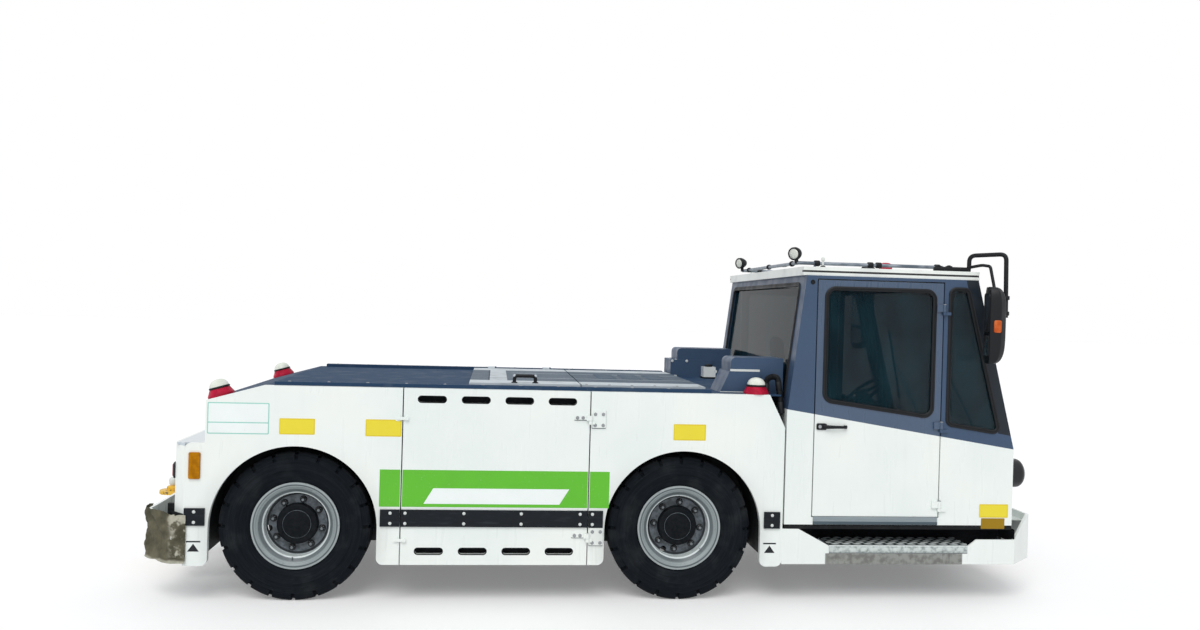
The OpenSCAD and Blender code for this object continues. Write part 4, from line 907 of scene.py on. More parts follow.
# Cab door furniture: a pull handle with its lock on a black base, zinc hinge pins,
# a folded aluminium threshold under the door, and a blind grommet on the post.
threshold_grey = Paint("threshold_grey", Metallic=0.35)
drag = threshold_grey.noise(50.0, 3.0, stretch=(0.1, 1, 1))
edge = threshold_grey.ramp(threshold_grey.z, 0.574, 0.578)
threshold_grey.set(
    Base_Color=threshold_grey.mix(
        edge, threshold_grey.mix(drag, srgb(58, 72, 80), srgb(80, 94, 102)),
        threshold_grey.mix(drag, srgb(120, 132, 138), srgb(146, 156, 160)),
    ),
    Roughness=threshold_grey.ramp(drag, 0.3, 0.7, 0.38, 0.55),
).bump(drag, 0.0002)
HANDLE_Z = 1245
PULL = [(3640, 1133), (3668, 1152), (3740, 1154), (3790, 1152), (3804, 1140)]
LOCK = [(0, 3), (6, 3), (6, 4), (11, 4), (12, 3), (12, 0), (0, 0)]
HINGE_CAP = [(0, 4), (10, 4), (13, 1), (13, -1), (0, -1)]
THRESHOLD = [(0, 0), (0, 55), (5, 55), (7, 52), (7, 26), (11, 22), (11, 4), (8, 0)]
GROMMET = [(0, 1), (9, 1), (11, 4), (15, 4), (17, 0), (0, 0)]
for name, side in SIDES.items():
    body = "cab_door_" + name
    path = bends([[x, side * y, HANDLE_Z] for x, y in PULL], 10, 6)
    width = np.interp(path[:, 0], [3640, 3700, 3780, 3804], [15, 11, 10, 13])
    oval = disc(1.0, 16)[None] * np.stack([width * 0.55, width], -1)[:, None]
    handle = [
        on_side(oblong(3589, 3662, 1222, 1268, 10), side, 0, 11, 2.5),
        sweep(path, oval, (0, 0, 1)),
        on_side(oblong(3786, 3808, 1234, 1256, 5), side, 0, 12, 1.5),
    ]
    piece("handle_" + name, handle, grip_black, body, 50)
    lock = lathe(LOCK, (3612, side * 1136, HANDLE_Z), (0, side, 0), 24)
    piece("lock_" + name, [lock], zinc, body)
    caps = [lathe(HINGE_CAP, (4504, side * 1139, z), (0, 0, 1), 20) for z in (726, 1291, 2131)]
    piece("hinge_caps_" + name, caps, zinc, body)
    edge = [[3582, side * PANEL_Y, 553], [4495, side * PANEL_Y, 553]]
    sill = sweep(edge, [(side * a, -b) for a, b in THRESHOLD], (0, 0, -1))
    piece("threshold_" + name, [sill], threshold_grey, sharp=20)
    grommet = lathe(GROMMET, (3535, side * PANEL_Y, 2265), (0, side, 0), 28)
    piece("grommet_" + name, [grommet], grip_black)

# Steps and recess: a pressed aluminium grip plank with staggered diamonds, worn
# bright on its ridges and painted lighter there as a highlight, over a pale sill, in
# front of the wheel-side recess, which black boards close as painted shade.
plank = Paint("plank", Metallic=0.25)
rub = plank.noise(40.0, 4.0)
# The diamonds' tops above z = 0.41 are painted near white as a highlight; the tread between them is
# dark.
bright = plank.ramp(plank.z, 0.4075, 0.4125)
lip = plank.ramp(abs(plank.y), 1.1252, 1.1256)
tread = plank.mix(plank.ramp(rub, 0.4, 0.7), srgb(38, 46, 50), srgb(72, 82, 84))
tread = plank.mix(bright, tread, srgb(216, 224, 222))
scraped = plank.mix(plank.ramp(rub, 0.35, 0.7), srgb(192, 200, 198), srgb(134, 142, 141))
# On the lip: a painted highlight on the dimples' crowns and along its top edge, and painted shade
# along its bottom edge.
dimple = plank.ramp(abs(plank.y), 1.1266, 1.1284) * 0.75
scraped = plank.mix(dimple, scraped, srgb(206, 213, 210))
scraped = plank.mix(plank.ramp(plank.z, 0.3975, 0.3995), scraped, srgb(222, 229, 226))
scraped = plank.mix(plank.ramp(plank.z, 0.355, 0.351), scraped, srgb(64, 70, 72))
plank.set(
    Base_Color=plank.mix(lip, tread, scraped),
    Roughness=plank.ramp(rub, 0.3, 0.7, 0.34, 0.55),
).bump(rub, 0.0006)
sill_paint, tone = white_gloss("sill_paint")
grit = sill_paint.noise(26.0, 6.0)
scraped = sill_paint.band(sill_paint.x, 1.53, 2.545, 0.004)
scraped = scraped * sill_paint.ramp(sill_paint.z, 0.349, 0.346)
bare = sill_paint.mix(sill_paint.ramp(grit, 0.4, 0.65), srgb(120, 122, 116), srgb(78, 77, 72))
sill_paint.set(Base_Color=sill_paint.mix(scraped * 0.92, tone, bare))
dress(sill_paint, "cab_sills")
aluminium = Paint("aluminium", Metallic=0.85)
brushed = aluminium.noise(60.0, 3.0, stretch=(0.05, 1, 1))
shine = aluminium.ramp(brushed, 0.3, 0.7)
aluminium.set(
    Base_Color=aluminium.mix(shine, srgb(150, 156, 162), srgb(190, 196, 202)),
    Roughness=aluminium.ramp(brushed, 0.3, 0.7, 0.32, 0.5),
).bump(brushed, 0.0002)
dress(aluminium, "cab_steps")
step_x0, step_x1, step_y0, step_y1 = 3706.0, 4733.0, 880.0, 1125.0


def plank_part(side):
    """z = 405.4 + 9 (|cos(pi (x/80 + n/2))| |sin(pi y/49)|)^0.7 for the nth row of
    diamonds across the tread, closed by a flat underside."""
    x, y = np.meshgrid(
        np.linspace(step_x0, step_x1, 312), np.linspace(step_y0, step_y1, 61), indexing="ij"
    )
    row = (step_y1 - y) / 49
    bumps = abs(np.cos(math.pi * (x / 80 + np.floor(row) / 2)) * np.sin(math.pi * row))
    z = 405.4 + 9 * bumps**0.7
    top = np.stack([x, side * y, z], -1)
    under = np.stack([x[:, ::-1], side * y[:, ::-1], np.full(x.shape, 405.1)], -1)
    return net(np.concatenate([top, under], 1))


def lip_part(side):
    """The lip's dimples: y = 1125.5 + 3.5 |sin(pi x/80)| sin(pi (z - 348)/57)^2."""
    x, z = np.meshgrid(
        np.linspace(step_x0 + 1, step_x1 - 1, 260), np.linspace(348, 405, 16), indexing="ij"
    )
    y = 1125.5 + 3.5 * abs(np.sin(math.pi * x / 80)) * np.sin(math.pi * (z - 348) / 57) ** 2
    face = np.stack([x, side * y, z], -1)
    back = np.stack([x[:, ::-1], np.full(x.shape, side * 1125.05), z[:, ::-1]], -1)
    return net(np.concatenate([face, back], 1))


for name, side in SIDES.items():
    piece("plank_" + name, [plank_part(side), lip_part(side)], plank, sharp=60)
# Black boards close the wheel-side recess by the step as painted shade.
recess_y, recess_front = 874, 5085
recess = []
for side in (-1, 1):
    wall = oblong(3400, recess_front, 345, 519)
    recess.append(plate(wall, side * recess_y, side * (recess_y - 4), "y"))
for side in (-1, 1):
    wall = oblong(*sorted((side * recess_y, side * 1118)), 420, 519)
    recess.append(plate(wall, recess_front, recess_front + 4, "x"))
piece("recess_shade_boards", recess, shade_black)

# Roof: a moulded white cap with a dark drip groove, tube rails on posts, and a bar
# with clamps for two work lamps facing back.
roof_white = Paint("roof_white", Coat_Weight=0.3)
film = roof_white.noise(5.0, 5.0)
gap = (
    roof_white.band(roof_white.z, 2.335, 2.349, 0.0008)
    * roof_white.ramp(roof_white.x, 1.245, 1.25) * roof_white.ramp(abs(roof_white.y), 1.08, 1.085)
)
roof_tone = roof_white.mix(roof_white.ramp(film, 0.5, 0.75) * 0.4, WHITE, srgb(196, 200, 198))
roof_white.set(
    Base_Color=roof_white.mix(gap, roof_tone, srgb(20, 20, 23)),
    Roughness=roof_white.ramp(film, 0.3, 0.7, 0.28, 0.5),
).bump(film + roof_white.noise(420.0, 2.0) * 0.1, 0.0006)
dress(roof_white, "cab_roof")
rail_steel = Paint("rail_steel", Metallic=0.7)
drawn = rail_steel.noise(30.0, 4.0, stretch=(0.3, 1, 1))
polish = rail_steel.ramp(drawn, 0.35, 0.7)
rail_steel.set(
    Base_Color=rail_steel.mix(polish, srgb(96, 106, 118), srgb(150, 158, 168)),
    Roughness=rail_steel.ramp(drawn, 0.3, 0.7, 0.3, 0.5),
).bump(drawn, 0.0003)
dress(rail_steel, "roof_rails")
ROOF_Z, RAIL_Z, RAIL_YS = 2374, 2414, (-815, 815)
BAR_CLAMP = [(13, -14), (19, -14), (21, -11), (21, 11), (19, 14), (13, 14)]
RAIL_CLAMP = [(13, -20), (20, -20), (22, -16), (22, 16), (20, 20), (13, 20)]
RAIL_FOOT = [(0, 8), (16, 8), (24, 3), (24, 0), (0, 0)]
clamps = [lathe(BAR_CLAMP, (3525, y, RAIL_Z), (0, 1, 0), 20, True) for y in (-640, 0, 640)]
clamps += [
    lathe(RAIL_CLAMP, (x, y, RAIL_Z), (1, 0, 0), 20, True)
    for x in (3660, 4067, 4130, 4585) for y in RAIL_YS
]
clamps += [
    lathe(RAIL_FOOT, (x, y, ROOF_Z), (0, 0, 1), 20) for x in (3645, 4067, 4609) for y in RAIL_YS
]
piece("rail_clamps", clamps, grip_black)
lamp_white = coated("lamp_white", srgb(214, 218, 214), rough=0.32, dust=0.1, top=2.8)
lens = Paint("clear_lens", Coat_Weight=0.8, Metallic=0.3, Roughness=0.2)
ribs = (lens.y * 700).sine() * (lens.z * 700).sine()
lens.set(Base_Color=lens.mix(lens.ramp(ribs, -0.6, 0.8), srgb(186, 190, 182), srgb(238, 240, 230)))
lens.bump(ribs, 0.0006)
LAMP_GLASS = [(0, 5), (20, 4), (36, 1), (38, -1), (0, -1)]
LAMP_SHELL = [
    (0, -3), (37, -1), (39, 3), (44, 4), (48, -1), (48, -26), (44, -40), (38, -54), (28, -72),
    (12, -82), (0, -83),
]
LAMP_POST = [(0, 22), (10, 22), (12, 18), (12, -8), (0, -8)]
lamp_x, lamp_z = 3504, 2482
glasses, heads = [], []
for y, aim in zip(RAIL_YS, ((-0.72, -0.68, -0.12), (-0.86, -0.5, -0.1))):
    face = np.array([lamp_x, y, lamp_z]) + unit(aim) * 42
    glasses.append(lathe(LAMP_GLASS, face, aim, 40))
    heads.append(lathe(LAMP_SHELL, face, aim, 40))
    heads.append(lathe(LAMP_POST, (lamp_x, y, RAIL_Z + 1), (0, 0, 1), 16))
    lug = oblong(-7, 7, -60, -40, 5) + (lamp_x, lamp_z - 2)
    heads.append(plate(lug, y - 30, y + 30, "y", 2))
piece("work_lamp_glass", glasses, lens)
piece("work_lamp_heads", heads, grip_black, sharp=50, replaced=["work_lamps"])
cable = bends([
    [3530, -700, 2424], [3545, -400, 2402], [3525, -60, 2426], [3548, 300, 2404],
    [3528, 720, 2424],
], 90, 9)
piece("lamp_cable", [sweep(cable, disc(5, 8), (0, 0, 1))], grip_black)
POST = [(0, 74), (7, 74), (13, 68), (14, 52), (9, 48), (7, 46), (7, 12), (0, 12)]
POST_FOOT = [(0, 14), (12, 14), (20, 6), (22, 0), (0, 0)]
places = [(3640, y, ROOF_Z) for y in (-1015, 1015)]
posts = [lathe(POST, place, (0, 0, 1), 24) for place in places]
piece("roof_posts", posts, lamp_white)
feet = [lathe(POST_FOOT, place, (0, 0, 1), 24) for place in places]
piece("roof_post_feet", feet, grip_black)

# Marker lamps: red cones with a white dome on each corner, amber side lamps in the
# rear fenders and a low red beacon on the roof, all moulded in coloured plastic.


def moulded(name, dark, light, flute=0.0, gloss=0.15):
    """Moulded plastic: clouds between two tones, and flutes as sin(flute z)."""
    paint = Paint(name, Coat_Weight=0.0, Roughness=0.35, Specular_IOR_Level=gloss)
    cloud = paint.noise(22.0, 3.0)
    paint.set(Base_Color=paint.mix(paint.ramp(cloud, 0.3, 0.7), dark, light))
    return paint.bump((paint.z * flute).sine() if flute else cloud, 0.0006)


lens_red = moulded("lens_red", srgb(150, 10, 40), srgb(186, 22, 58), 900.0)
lens_amber = moulded("lens_amber", srgb(168, 106, 0), srgb(196, 130, 0), 1400.0, 0.05)
dome_white = moulded("dome_white", srgb(214, 218, 206), srgb(232, 235, 226))
LAMP_SIZE = 1.18
CONE = LAMP_SIZE * np.array([
    (0, 46), (50, 46), (56, 44), (60, 38), (66, 26), (74, 12), (75, 8), (75, 0.1), (0, 0.1),
])
RING = LAMP_SIZE * np.array([(50, 45), (58, 45), (59, 48), (58, 54), (54, 56), (50, 56)])
DOME = LAMP_SIZE * np.array([
    (0, 98), (12, 97.4), (24, 94.6), (36, 88.6), (45, 79.5), (51.5, 68), (54, 56), (54, 48),
    (0, 48),
])
BEACON = [(0, 108), (22, 107), (38, 102), (49, 92), (53, 78), (54, 32), (50, 30), (0, 30)]
BEACON_FOOT = [(0, 31), (56, 31), (60, 28), (62, 12), (66, 8), (66, 0.05), (0, 0.05)]
beacon_place = (4511, 0, ROOF_Z)
tilt = math.radians(15.8)
corners = [((-514, y, 1376.8), (-math.sin(tilt), 0, math.cos(tilt))) for y in (-1005, 1005)]
corners += [((3167, y, 1462), (0, 0, 1)) for y in (-1046, 1046)]
cones = [lathe(CONE, place, axis, 48) for place, axis in corners]
cones.append(lathe(BEACON, beacon_place, (0, 0, 1), 48))
piece("lamp_cones", cones, lens_red, replaced=["marker_lamps"])
rings = [lathe(RING, place, axis, 48, True) for place, axis in corners]
rings.append(lathe(BEACON_FOOT, beacon_place, (0, 0, 1), 48))
piece("lamp_rings", rings, grip_black)
domes = [lathe(DOME, place, axis, 48) for place, axis in corners]
piece("lamp_domes", domes, dome_white)
amber = [on_side(oblong(-683, -608, 832, 1010, 9), s, 0.2, 14, 4) for s in (-1, 1)]
piece("side_lamps", amber, lens_amber)

# Mirrors: black tube arms with moulded heads, each with a main and a wide glass
# facing back and an amber repeater on the outer face.
mirror_black = coated(
    "mirror_black", srgb(15, 18, 22), rough=0.45, peel=0.0004, dust=0.03, Specular_IOR_Level=0.25
)
mirror_x, mirror_y, stem_x, stem_y = 4757, 1290, 4897, 1262


def head_part(side):
    """P(z, k): the head's outline in plan, drawn in about (4757, 1290) by s(z), where
    s = (1 - |v|^5)^0.5 falls off over the last part of its height, v = -1..1."""
    corners = [[0, 0], [0, 200], [75, 196], [118, 150], [118, 50], [75, 4]]
    plan = rounded(corners, [10, 10, 24, 30, 30, 24], 7)
    v = np.sin(np.linspace(-math.pi / 2, math.pi / 2, 31))[:, None]
    s = (1 - abs(v) ** 5).clip(0.0) ** 0.5 * (1 - 0.08 * (v < 0) * v**2)
    x = mirror_x + plan[:, 0] * (0.35 + 0.65 * s) + 4 * v**2
    y = mirror_y + (plan[:, 1] - 100) * (0.55 + 0.45 * s)
    z = np.broadcast_to(1994 + 269 * v, x.shape)
    return net(np.stack([x, side * y, z], -1))


def toed_in(part, side):
    """A part of one mirror turned 16 degrees about its ball joint, to face the driver."""
    a = side * math.radians(16)
    joint = np.array([4812, side * 1268, 0])
    turn = [[math.cos(a), math.sin(a), 0], [-math.sin(a), math.cos(a), 0], [0, 0, 1]]
    return (part[0] - joint) @ np.array(turn) + joint, part[1], part[2]


ARM_BOLT = [(0, 12), (10, 12), (13, 8), (24, 6), (24, 0), (0, 0)]
STEM_CLAMP = [(16, -14), (21, -14), (23, -10), (23, 10), (21, 14), (16, 14)]
PANE_FRAME = [(-5, -2), (-5, 4), (-2, 6), (3, 6), (5, 3), (5, -2)]
arms = []
for side in (-1, 1):
    upper = [
        [4712, side * 1066, 2400], [4712, side * 1066, 2492], [4896, side * 1248, 2500],
        [stem_x, side * stem_y, 2050],
    ]
    arms.append(sweep(bends(upper, 46, 9), disc(15.5, 18), (1, 0, 0.02)))
    lower = [
        [4699, side * 1066, 2404], [4768, side * 1150, 2422], [4796, side * 1216, 2412],
        [4812, side * 1258, 2244],
    ]
    arms.append(sweep(bends(lower, 18, 7), disc(11, 16), (1, 0, 0.02)))
    foot = oblong(4449, 4719, side * 1065 - 25, side * 1065 + 25, 12)
    arms.append(plate(foot, ROOF_Z + 0.2, 2406, "z", 5))
    arms += [lathe(ARM_BOLT, (x, side * 1065, 2406), (0, 0, 1), 20) for x in (4480, 4560)]
    for z in (2190, 2080):
        link = [[4830, side * 1268, z], [stem_x, side * stem_y, z]]
        arms.append(sweep(link, disc(9, 14), (0, 1, 0)))
        arms.append(lathe(STEM_CLAMP, link[1], (0, 0, 1), 20, True))
    arms.append(toed_in(head_part(side), side))
piece("mirror_bodies", arms, mirror_black, sharp=50, replaced=["mirrors"])
mirror_glass = Paint("mirror_glass", Metallic=1.0)
haze = mirror_glass.noise(14.0, 3.0)
mirror_glass.set(
    Base_Color=mirror_glass.mix(haze, srgb(200, 206, 212), srgb(222, 226, 230)),
    Roughness=mirror_glass.ramp(haze, 0.3, 0.7, 0.02, 0.08),
)
panes, frames, repeaters = [], [], []
for side in (-1, 1):
    for z0, z1 in ((1775, 1925), (1943, 2215)):
        edge = oblong(side * mirror_y - 80, side * mirror_y + 80, z0, z1, 22)
        panes.append(toed_in(plate(edge, mirror_x + 0.5, mirror_x - 4.5, "x", 1.5), side))
        path = np.stack([np.full(len(edge), mirror_x), edge[:, 0], edge[:, 1]], -1)
        frames.append(toed_in(sweep(path, PANE_FRAME, (-1, 0, 0), True), side))
    edge = oblong(4786, 4836, 1944, 2030, 12)
    repeaters.append(toed_in(plate(edge, side * 1382, side * 1392, "y", 2.5), side))
piece("mirror_panes", panes, mirror_glass)
piece("mirror_frames", frames, mirror_black, sharp=50)
lens_orange = moulded("lens_orange", srgb(190, 78, 20), srgb(224, 120, 60), 1400.0)
piece("mirror_repeaters", repeaters, lens_orange)

# Headlamps: round black shells bolted to the nose, with a chromed rim and a fluted
# lens; an amber indicator under each, and a white bonnet panel between.
lamp_black = coated(
    "lamp_black", srgb(15, 17, 21), rough=0.35, peel=0.0002, dust=0.03, Coat_Weight=0.2,
    Specular_IOR_Level=0.3,
)
dress(lamp_black, "headlamps")
chrome = Paint("chrome", Metallic=1.0)
chrome.set(
    Base_Color=chrome.worn(srgb(205, 208, 212), 0.1, 0.0),
    Roughness=chrome.ramp(chrome.noise(30.0), 0.3, 0.7, 0.08, 0.2),
)
HEADLAMP_Y, HEADLAMP_Z = 945, 905
headlamp_lens = Paint("headlamp_lens", Coat_Weight=0.5, Metallic=0.35, Roughness=0.18)
across = abs(headlamp_lens.y) - HEADLAMP_Y / 1000
rise = headlamp_lens.z - HEADLAMP_Z / 1000
radius = (across * across + rise * rise) ** 0.5
flutes = (across * 620).sine()
crest = headlamp_lens.ramp(flutes, -0.5, 0.6)
bowl = headlamp_lens.mix(crest, srgb(120, 128, 132), srgb(226, 230, 228))
bowl = headlamp_lens.mix(headlamp_lens.ramp(radius, 0.044, 0.05), bowl, srgb(58, 63, 68))
bowl = headlamp_lens.mix(headlamp_lens.ramp(radius, 0.016, 0.013), bowl, srgb(74, 80, 86))
headlamp_lens.set(Base_Color=bowl).bump(flutes, 0.0008)
CHROME_RIM = [(56, 0), (56, 3), (60, 7), (66, 6.5), (72, 2), (73, -4), (62, -6)]
HEADLAMP_GLASS = [(0, 7.5), (20, 6.8), (40, 4.6), (57, 0.8), (57, -0.5), (0, -0.5)]
BONNET_LOCK = [(0, 4), (10, 4), (12, 6), (20, 6), (22, 3), (22, 0), (0, 0)]
rims, glasses, ambers = [], [], []
for y in (-HEADLAMP_Y, HEADLAMP_Y):
    face = (5210, y, HEADLAMP_Z)
    rims.append(lathe(CHROME_RIM, face, (1, 0, 0), 56, True))
    glasses.append(lathe(HEADLAMP_GLASS, face, (1, 0, 0), 56))
    amber = oblong(y - 62, y + 62, 700, 752, 12)
    ambers.append(plate(amber, CAB_FRONT + 0.2, CAB_FRONT + 14, "x", 5))
piece("headlamp_rims", rims, chrome)
piece("headlamp_glass", glasses, headlamp_lens)
piece("nose_indicators", ambers, lens_amber)
panel_face = CAB_FRONT + 6
panel = [plate(oblong(-560, 560, 640, 1020, 24), CAB_FRONT + 0.1, panel_face, "x", 2.5)]
piece("bonnet_panel", panel, white_paint)
locks = [lathe(BONNET_LOCK, (panel_face, y, 985), (1, 0, 0), 28) for y in (-500, 500)]
locks += [lathe(BOLT, (panel_face, y, 665), (1, 0, 0), 6) for y in (-500, 0, 500)]
piece("bonnet_locks", locks, zinc)

# Windscreen wipers: black pressed arms on pivots under the glass, each with a
# rubber blade lying on it.
normal, along = unit((1, 0, NOSE_LEAN)), unit((-NOSE_LEAN, 0, 1))
WIPER_PIVOT = [(0, 18), (14, 18), (18, 12), (20, -16), (0, -16)]
WIPER_BLADE = [(-8, -4), (-3, 8), (3, 8), (8, -4), (1.5, -12), (-1.5, -12)]
wipers = []
for y in (-520, 520):
    foot = np.array([float(nose_x(1135)), y, 1135.0]) + normal * 16
    tip = foot + along * 470 + np.array([0, 250, 0]) - normal * 8
    arm = bends([foot, foot + (tip - foot) * 0.35 + normal * 12, tip], 60)
    low = tip - along * 300 + np.array([0, 40, 0]) - normal * 14
    high = tip + along * 330 - np.array([0, 40, 0]) - normal * 14
    wipers.append(lathe(WIPER_PIVOT, foot, normal, 20))
    wipers.append(sweep(arm, oblong(-9, 9, -3, 3), normal))
    wipers.append(sweep(np.linspace(low, high, 12), WIPER_BLADE, normal))
piece("wipers", wipers, grip_black)

# Bumpers and couplings: bent steel plate in white, an orange-yellow three-jaw
# coupling at each end with its drop pin, and lamp clusters on the rear wall.
coupling_paint = Paint("coupling_paint", Coat_Weight=0.1)
chips = coupling_paint.noise(34.0, 6.0)
bare = coupling_paint.ramp(chips, 0.56, 0.62)
chipped = coupling_paint.mix(
    bare * 0.8, coupling_paint.worn(srgb(226, 180, 44), 0.15, 0.35), srgb(92, 82, 74)
)
coupling_paint.set(
    Base_Color=chipped, Roughness=coupling_paint.ramp(chips, 0.4, 0.65, 0.4, 0.65)
).bump(1 - bare, 0.0005)
dress(coupling_paint, "tow_couplings")
DROP_PIN = [(0, 592), (18, 592), (20, 588), (20, 310), (15, 300), (0, 300)]
PIN_COLLAR = [(0, 30), (38, 30), (42, 26), (42, 0.5), (0, 0.5)]
PIN_KNOB = [(0, 92), (14, 90), (26, 82), (30, 70), (28, 40), (20, 30), (0, 30)]
pins, knobs = [], []
for x in (-1120, 5420):
    pins.append(lathe(DROP_PIN, (x, 0, 0), (0, 0, 1), 28))
    pins.append(lathe(PIN_COLLAR, (x, 0, 552.5), (0, 0, 1), 32))
    knobs.append(lathe(PIN_KNOB, (x, 0, 560), (0, 0, 1), 32))
piece("tow_pins", pins, coupling_paint)
piece("tow_pin_knobs", knobs, lamp_white)
heads = [
    lathe(BOLT, (x, y, z), (out, 0, 0), 6)
    for x, out in ((-1030, -1), (5330, 1)) for y in (-125, 125) for z in (315, 565)
]
piece("coupling_bolts", heads, zinc)
tail_y, tail_back = 900, -806
TAIL_LAMPS = {
    "tail_lamp_red": (lens_red, "lamp_lens", tail_y + 60, tail_y + 140),
    "tail_lamp_amber": (lens_amber, "lamp_lens", tail_y - 40, tail_y + 50),
    "tail_lamp_white": (lens, "lamp_white", tail_y - 140, tail_y - 50),
}
backs = [
    plate(oblong(s * tail_y - 150, s * tail_y + 150, 820, 930, 16), -790.2, tail_back, "x", 5)
    for s in (-1, 1)
]
piece("tail_lamp_backs", backs, lamp_black)
for title, (paint, slot, y0, y1) in TAIL_LAMPS.items():
    edges = [oblong(*sorted((s * y0, s * y1)), 832, 918, 10) for s in (-1, 1)]
    piece(title, [plate(edge, tail_back, tail_back - 7, "x", 4) for edge in edges], paint)

# Cab interior: two padded seats on bellows, a moulded dashboard with a binnacle
# and a blank screen, a shrouded column and a soft-grip steering wheel.
seat_fabric = Paint("seat_fabric", Specular_IOR_Level=0.25)
warp = (seat_fabric.y * 2200).sine()
weft = ((seat_fabric.x + seat_fabric.z) * 2200).sine()
weave = warp * weft
heather = seat_fabric.noise(18.0, 5.0)
centre = seat_fabric.band(abs(abs(seat_fabric.y) - 0.48), -1, 0.15, 0.004)
cloth = seat_fabric.mix(centre, srgb(34, 36, 40), srgb(58, 62, 70))
cloth = seat_fabric.mix(seat_fabric.ramp(weave, -0.4, 0.8) * 0.35, cloth, srgb(92, 96, 104))
seat_fabric.set(
    Base_Color=seat_fabric.scaled(cloth, 0.8 + heather * 0.4),
    Roughness=seat_fabric.ramp(heather, 0.3, 0.7, 0.8, 0.95),
).bump(weave + heather, 0.0006)


def pad_part(middle, half, tilt=0.0, channels=()):
    """A crowned pad: P(u, v) = (a c(v)^0.55 c(u)^0.35, b s(v)^0.55 c(u)^0.35, t s(u)),
    with sewn channels 9 mm deep across it, leaning back by tilt; c and s keep the
    sign of cos and sin."""
    u, v = np.meshgrid(
        np.linspace(-math.pi / 2, math.pi / 2, 37), np.arange(96) * math.pi / 48, indexing="ij"
    )
    swell = np.cos(u).clip(0) ** 0.35
    a = half[0] * np.sign(np.cos(v)) * abs(np.cos(v)) ** 0.55 * swell
    b = half[1] * np.sign(np.sin(v)) * abs(np.sin(v)) ** 0.55 * swell
    t = half[2] * np.sin(u) * (1 - 0.28 * (a / half[0]) ** 4) * (1 - 0.25 * (b / half[1]) ** 4)
    for place in channels:
        t = t - 9 * np.exp(-(((a - place) / 9) ** 2)) * (u > 0.2) * swell
    x = middle[0] + a * math.cos(tilt) + t * math.sin(tilt)
    z = middle[2] - a * math.sin(tilt) + t * math.cos(tilt)
    return net(np.stack([x, middle[1] + b, z], -1), ends=False)


SEAT_Y, LEAN_BACK = 480, math.radians(-98)
for name, side in SIDES.items():
    y = side * SEAT_Y
    seat = pad_part((4045, y, 974), (254, 252, 66), math.radians(-2), (-120, 0, 120))
    back = pad_part((3805, y, 1300), (332, 250, 70), LEAN_BACK, (-160, -60, 40, 140))
    head = pad_part((3751, y, 1724), (116, 121, 46), LEAN_BACK)
    for title, part in (("seat_cushion", seat), ("seat_back", back), ("head_rest", head)):
        made = piece(
            f"{title}_{name}", [part], seat_fabric, sharp=80, replaced=["seats"]
        )
plastic = coated("moulded_black", srgb(30, 32, 35), rough=0.55, peel=0.0006, dust=0.0)
bellows_foot, bellows_top = 566, 905
fold = 168 + 10 * np.sin(np.linspace(0, 12 * math.pi, 61))
rise = np.linspace(bellows_foot, bellows_top, 61)
ring = rounded([[-1, -1], [1, -1], [1, 1], [-1, 1]], 0.25)
frames = []
for y in (-SEAT_Y, SEAT_Y):
    bellows = np.stack([
        4035 + fold[:, None] * ring[:, 0], y + fold[:, None] * ring[:, 1],
        np.broadcast_to(rise[:, None], (len(rise), len(ring))),
    ], -1)
    frames += [
        net(bellows),
        plate(oblong(3857, 4213, y - 178, y + 178, 20), 551.5, bellows_foot, "z", 3),
        plate(oblong(3835, 4262, y - 215, y + 215, 40), bellows_top, 930, "z", 6),
    ]
    for s in (-55, 55):
        frames.append(sweep([[3744, y + s, 1560], [3752, y + s, 1700]], disc(7, 12), (0, 1, 0)))
    for s in (-1, 1):
        arm = [[3820, y + s * 262, 1215], [3860, y + s * 266, 1222], [4110, y + s * 266, 1236]]
        frames.append(sweep(bends(arm, 20), oblong(-20, 20, -24, 24, 12), (0, 1, 0)))
    frames.append(plate(oblong(3795, 3835, y - 150, y + 150, 10), 930, 1010, "z", 4))
piece("seat_frames", frames, plastic, sharp=40, replaced=["seats"])
dash_plastic = coated("dash_plastic", srgb(38, 40, 43), rough=0.6, peel=0.0009, dust=0.0)
dress(dash_plastic, "dashboard")
dash_face = 4700
HOOD = [[dash_face, 1120], [dash_face, 1206], [4730, 1226], [4900, 1186], [4950, 1105]]
CONSOLE = [[dash_face, 560], [4760, 1010], [4840, 1010], [4840, 560]]
cowling = [plate(rounded(HOOD, [12, 10, 14, 20, 8]), 270, 690, "y", 8)]
cowling.append(plate(oblong(-330, 130, 1030, 1100, 14), dash_face + 38, dash_face, "x", 6))
cowling.append(plate(rounded(CONSOLE, 20), -170, 60, "y", 8))
axis = unit((-math.sin(math.radians(40)), 0, math.cos(math.radians(40))))
wheel_seat = np.array([4540.0, 480.0, 1330.0])
SHROUD = [
    (0, -6), (46, -6), (50, -12), (50, -96), (60, -112), (60, -250), (46, -262), (0, -262),
]
LEVER_KNOB = [(0, 18), (8, 18), (12, 13), (13, 0), (9, -24), (0, -24)]
cowling.append(lathe(SHROUD, wheel_seat, axis, 40))
for s, drop, rise in ((-1, -60, 20), (1, -60, 26), (1, -120, -6)):
    root = wheel_seat + axis * drop
    tip = root + np.array([-14, s * 165, rise])
    cowling.append(sweep([root, root + (tip - root) * 0.55, tip], disc(6, 12), (0, 0, 1)))
    cowling.append(lathe(LEVER_KNOB, tip, (0, s, 0.12), 18))
piece("dash_mouldings", cowling, plastic, sharp=40)
screen_black = Paint("screen_black", Roughness=0.12, Coat_Weight=0.7)
sheen = screen_black.noise(3.0, 2.0)
screen_black.set(Base_Color=screen_black.mix(sheen, srgb(10, 13, 16), srgb(26, 32, 38)))
panes = [
    plate(oblong(y0, y1, 1126, 1196, 8), dash_face - 0.5, dash_face - 4, "x", 1.5)
    for y0, y1 in ((300, 440), (520, 660))
]
small = oblong(-300, -60, 1040, 1092, 6)
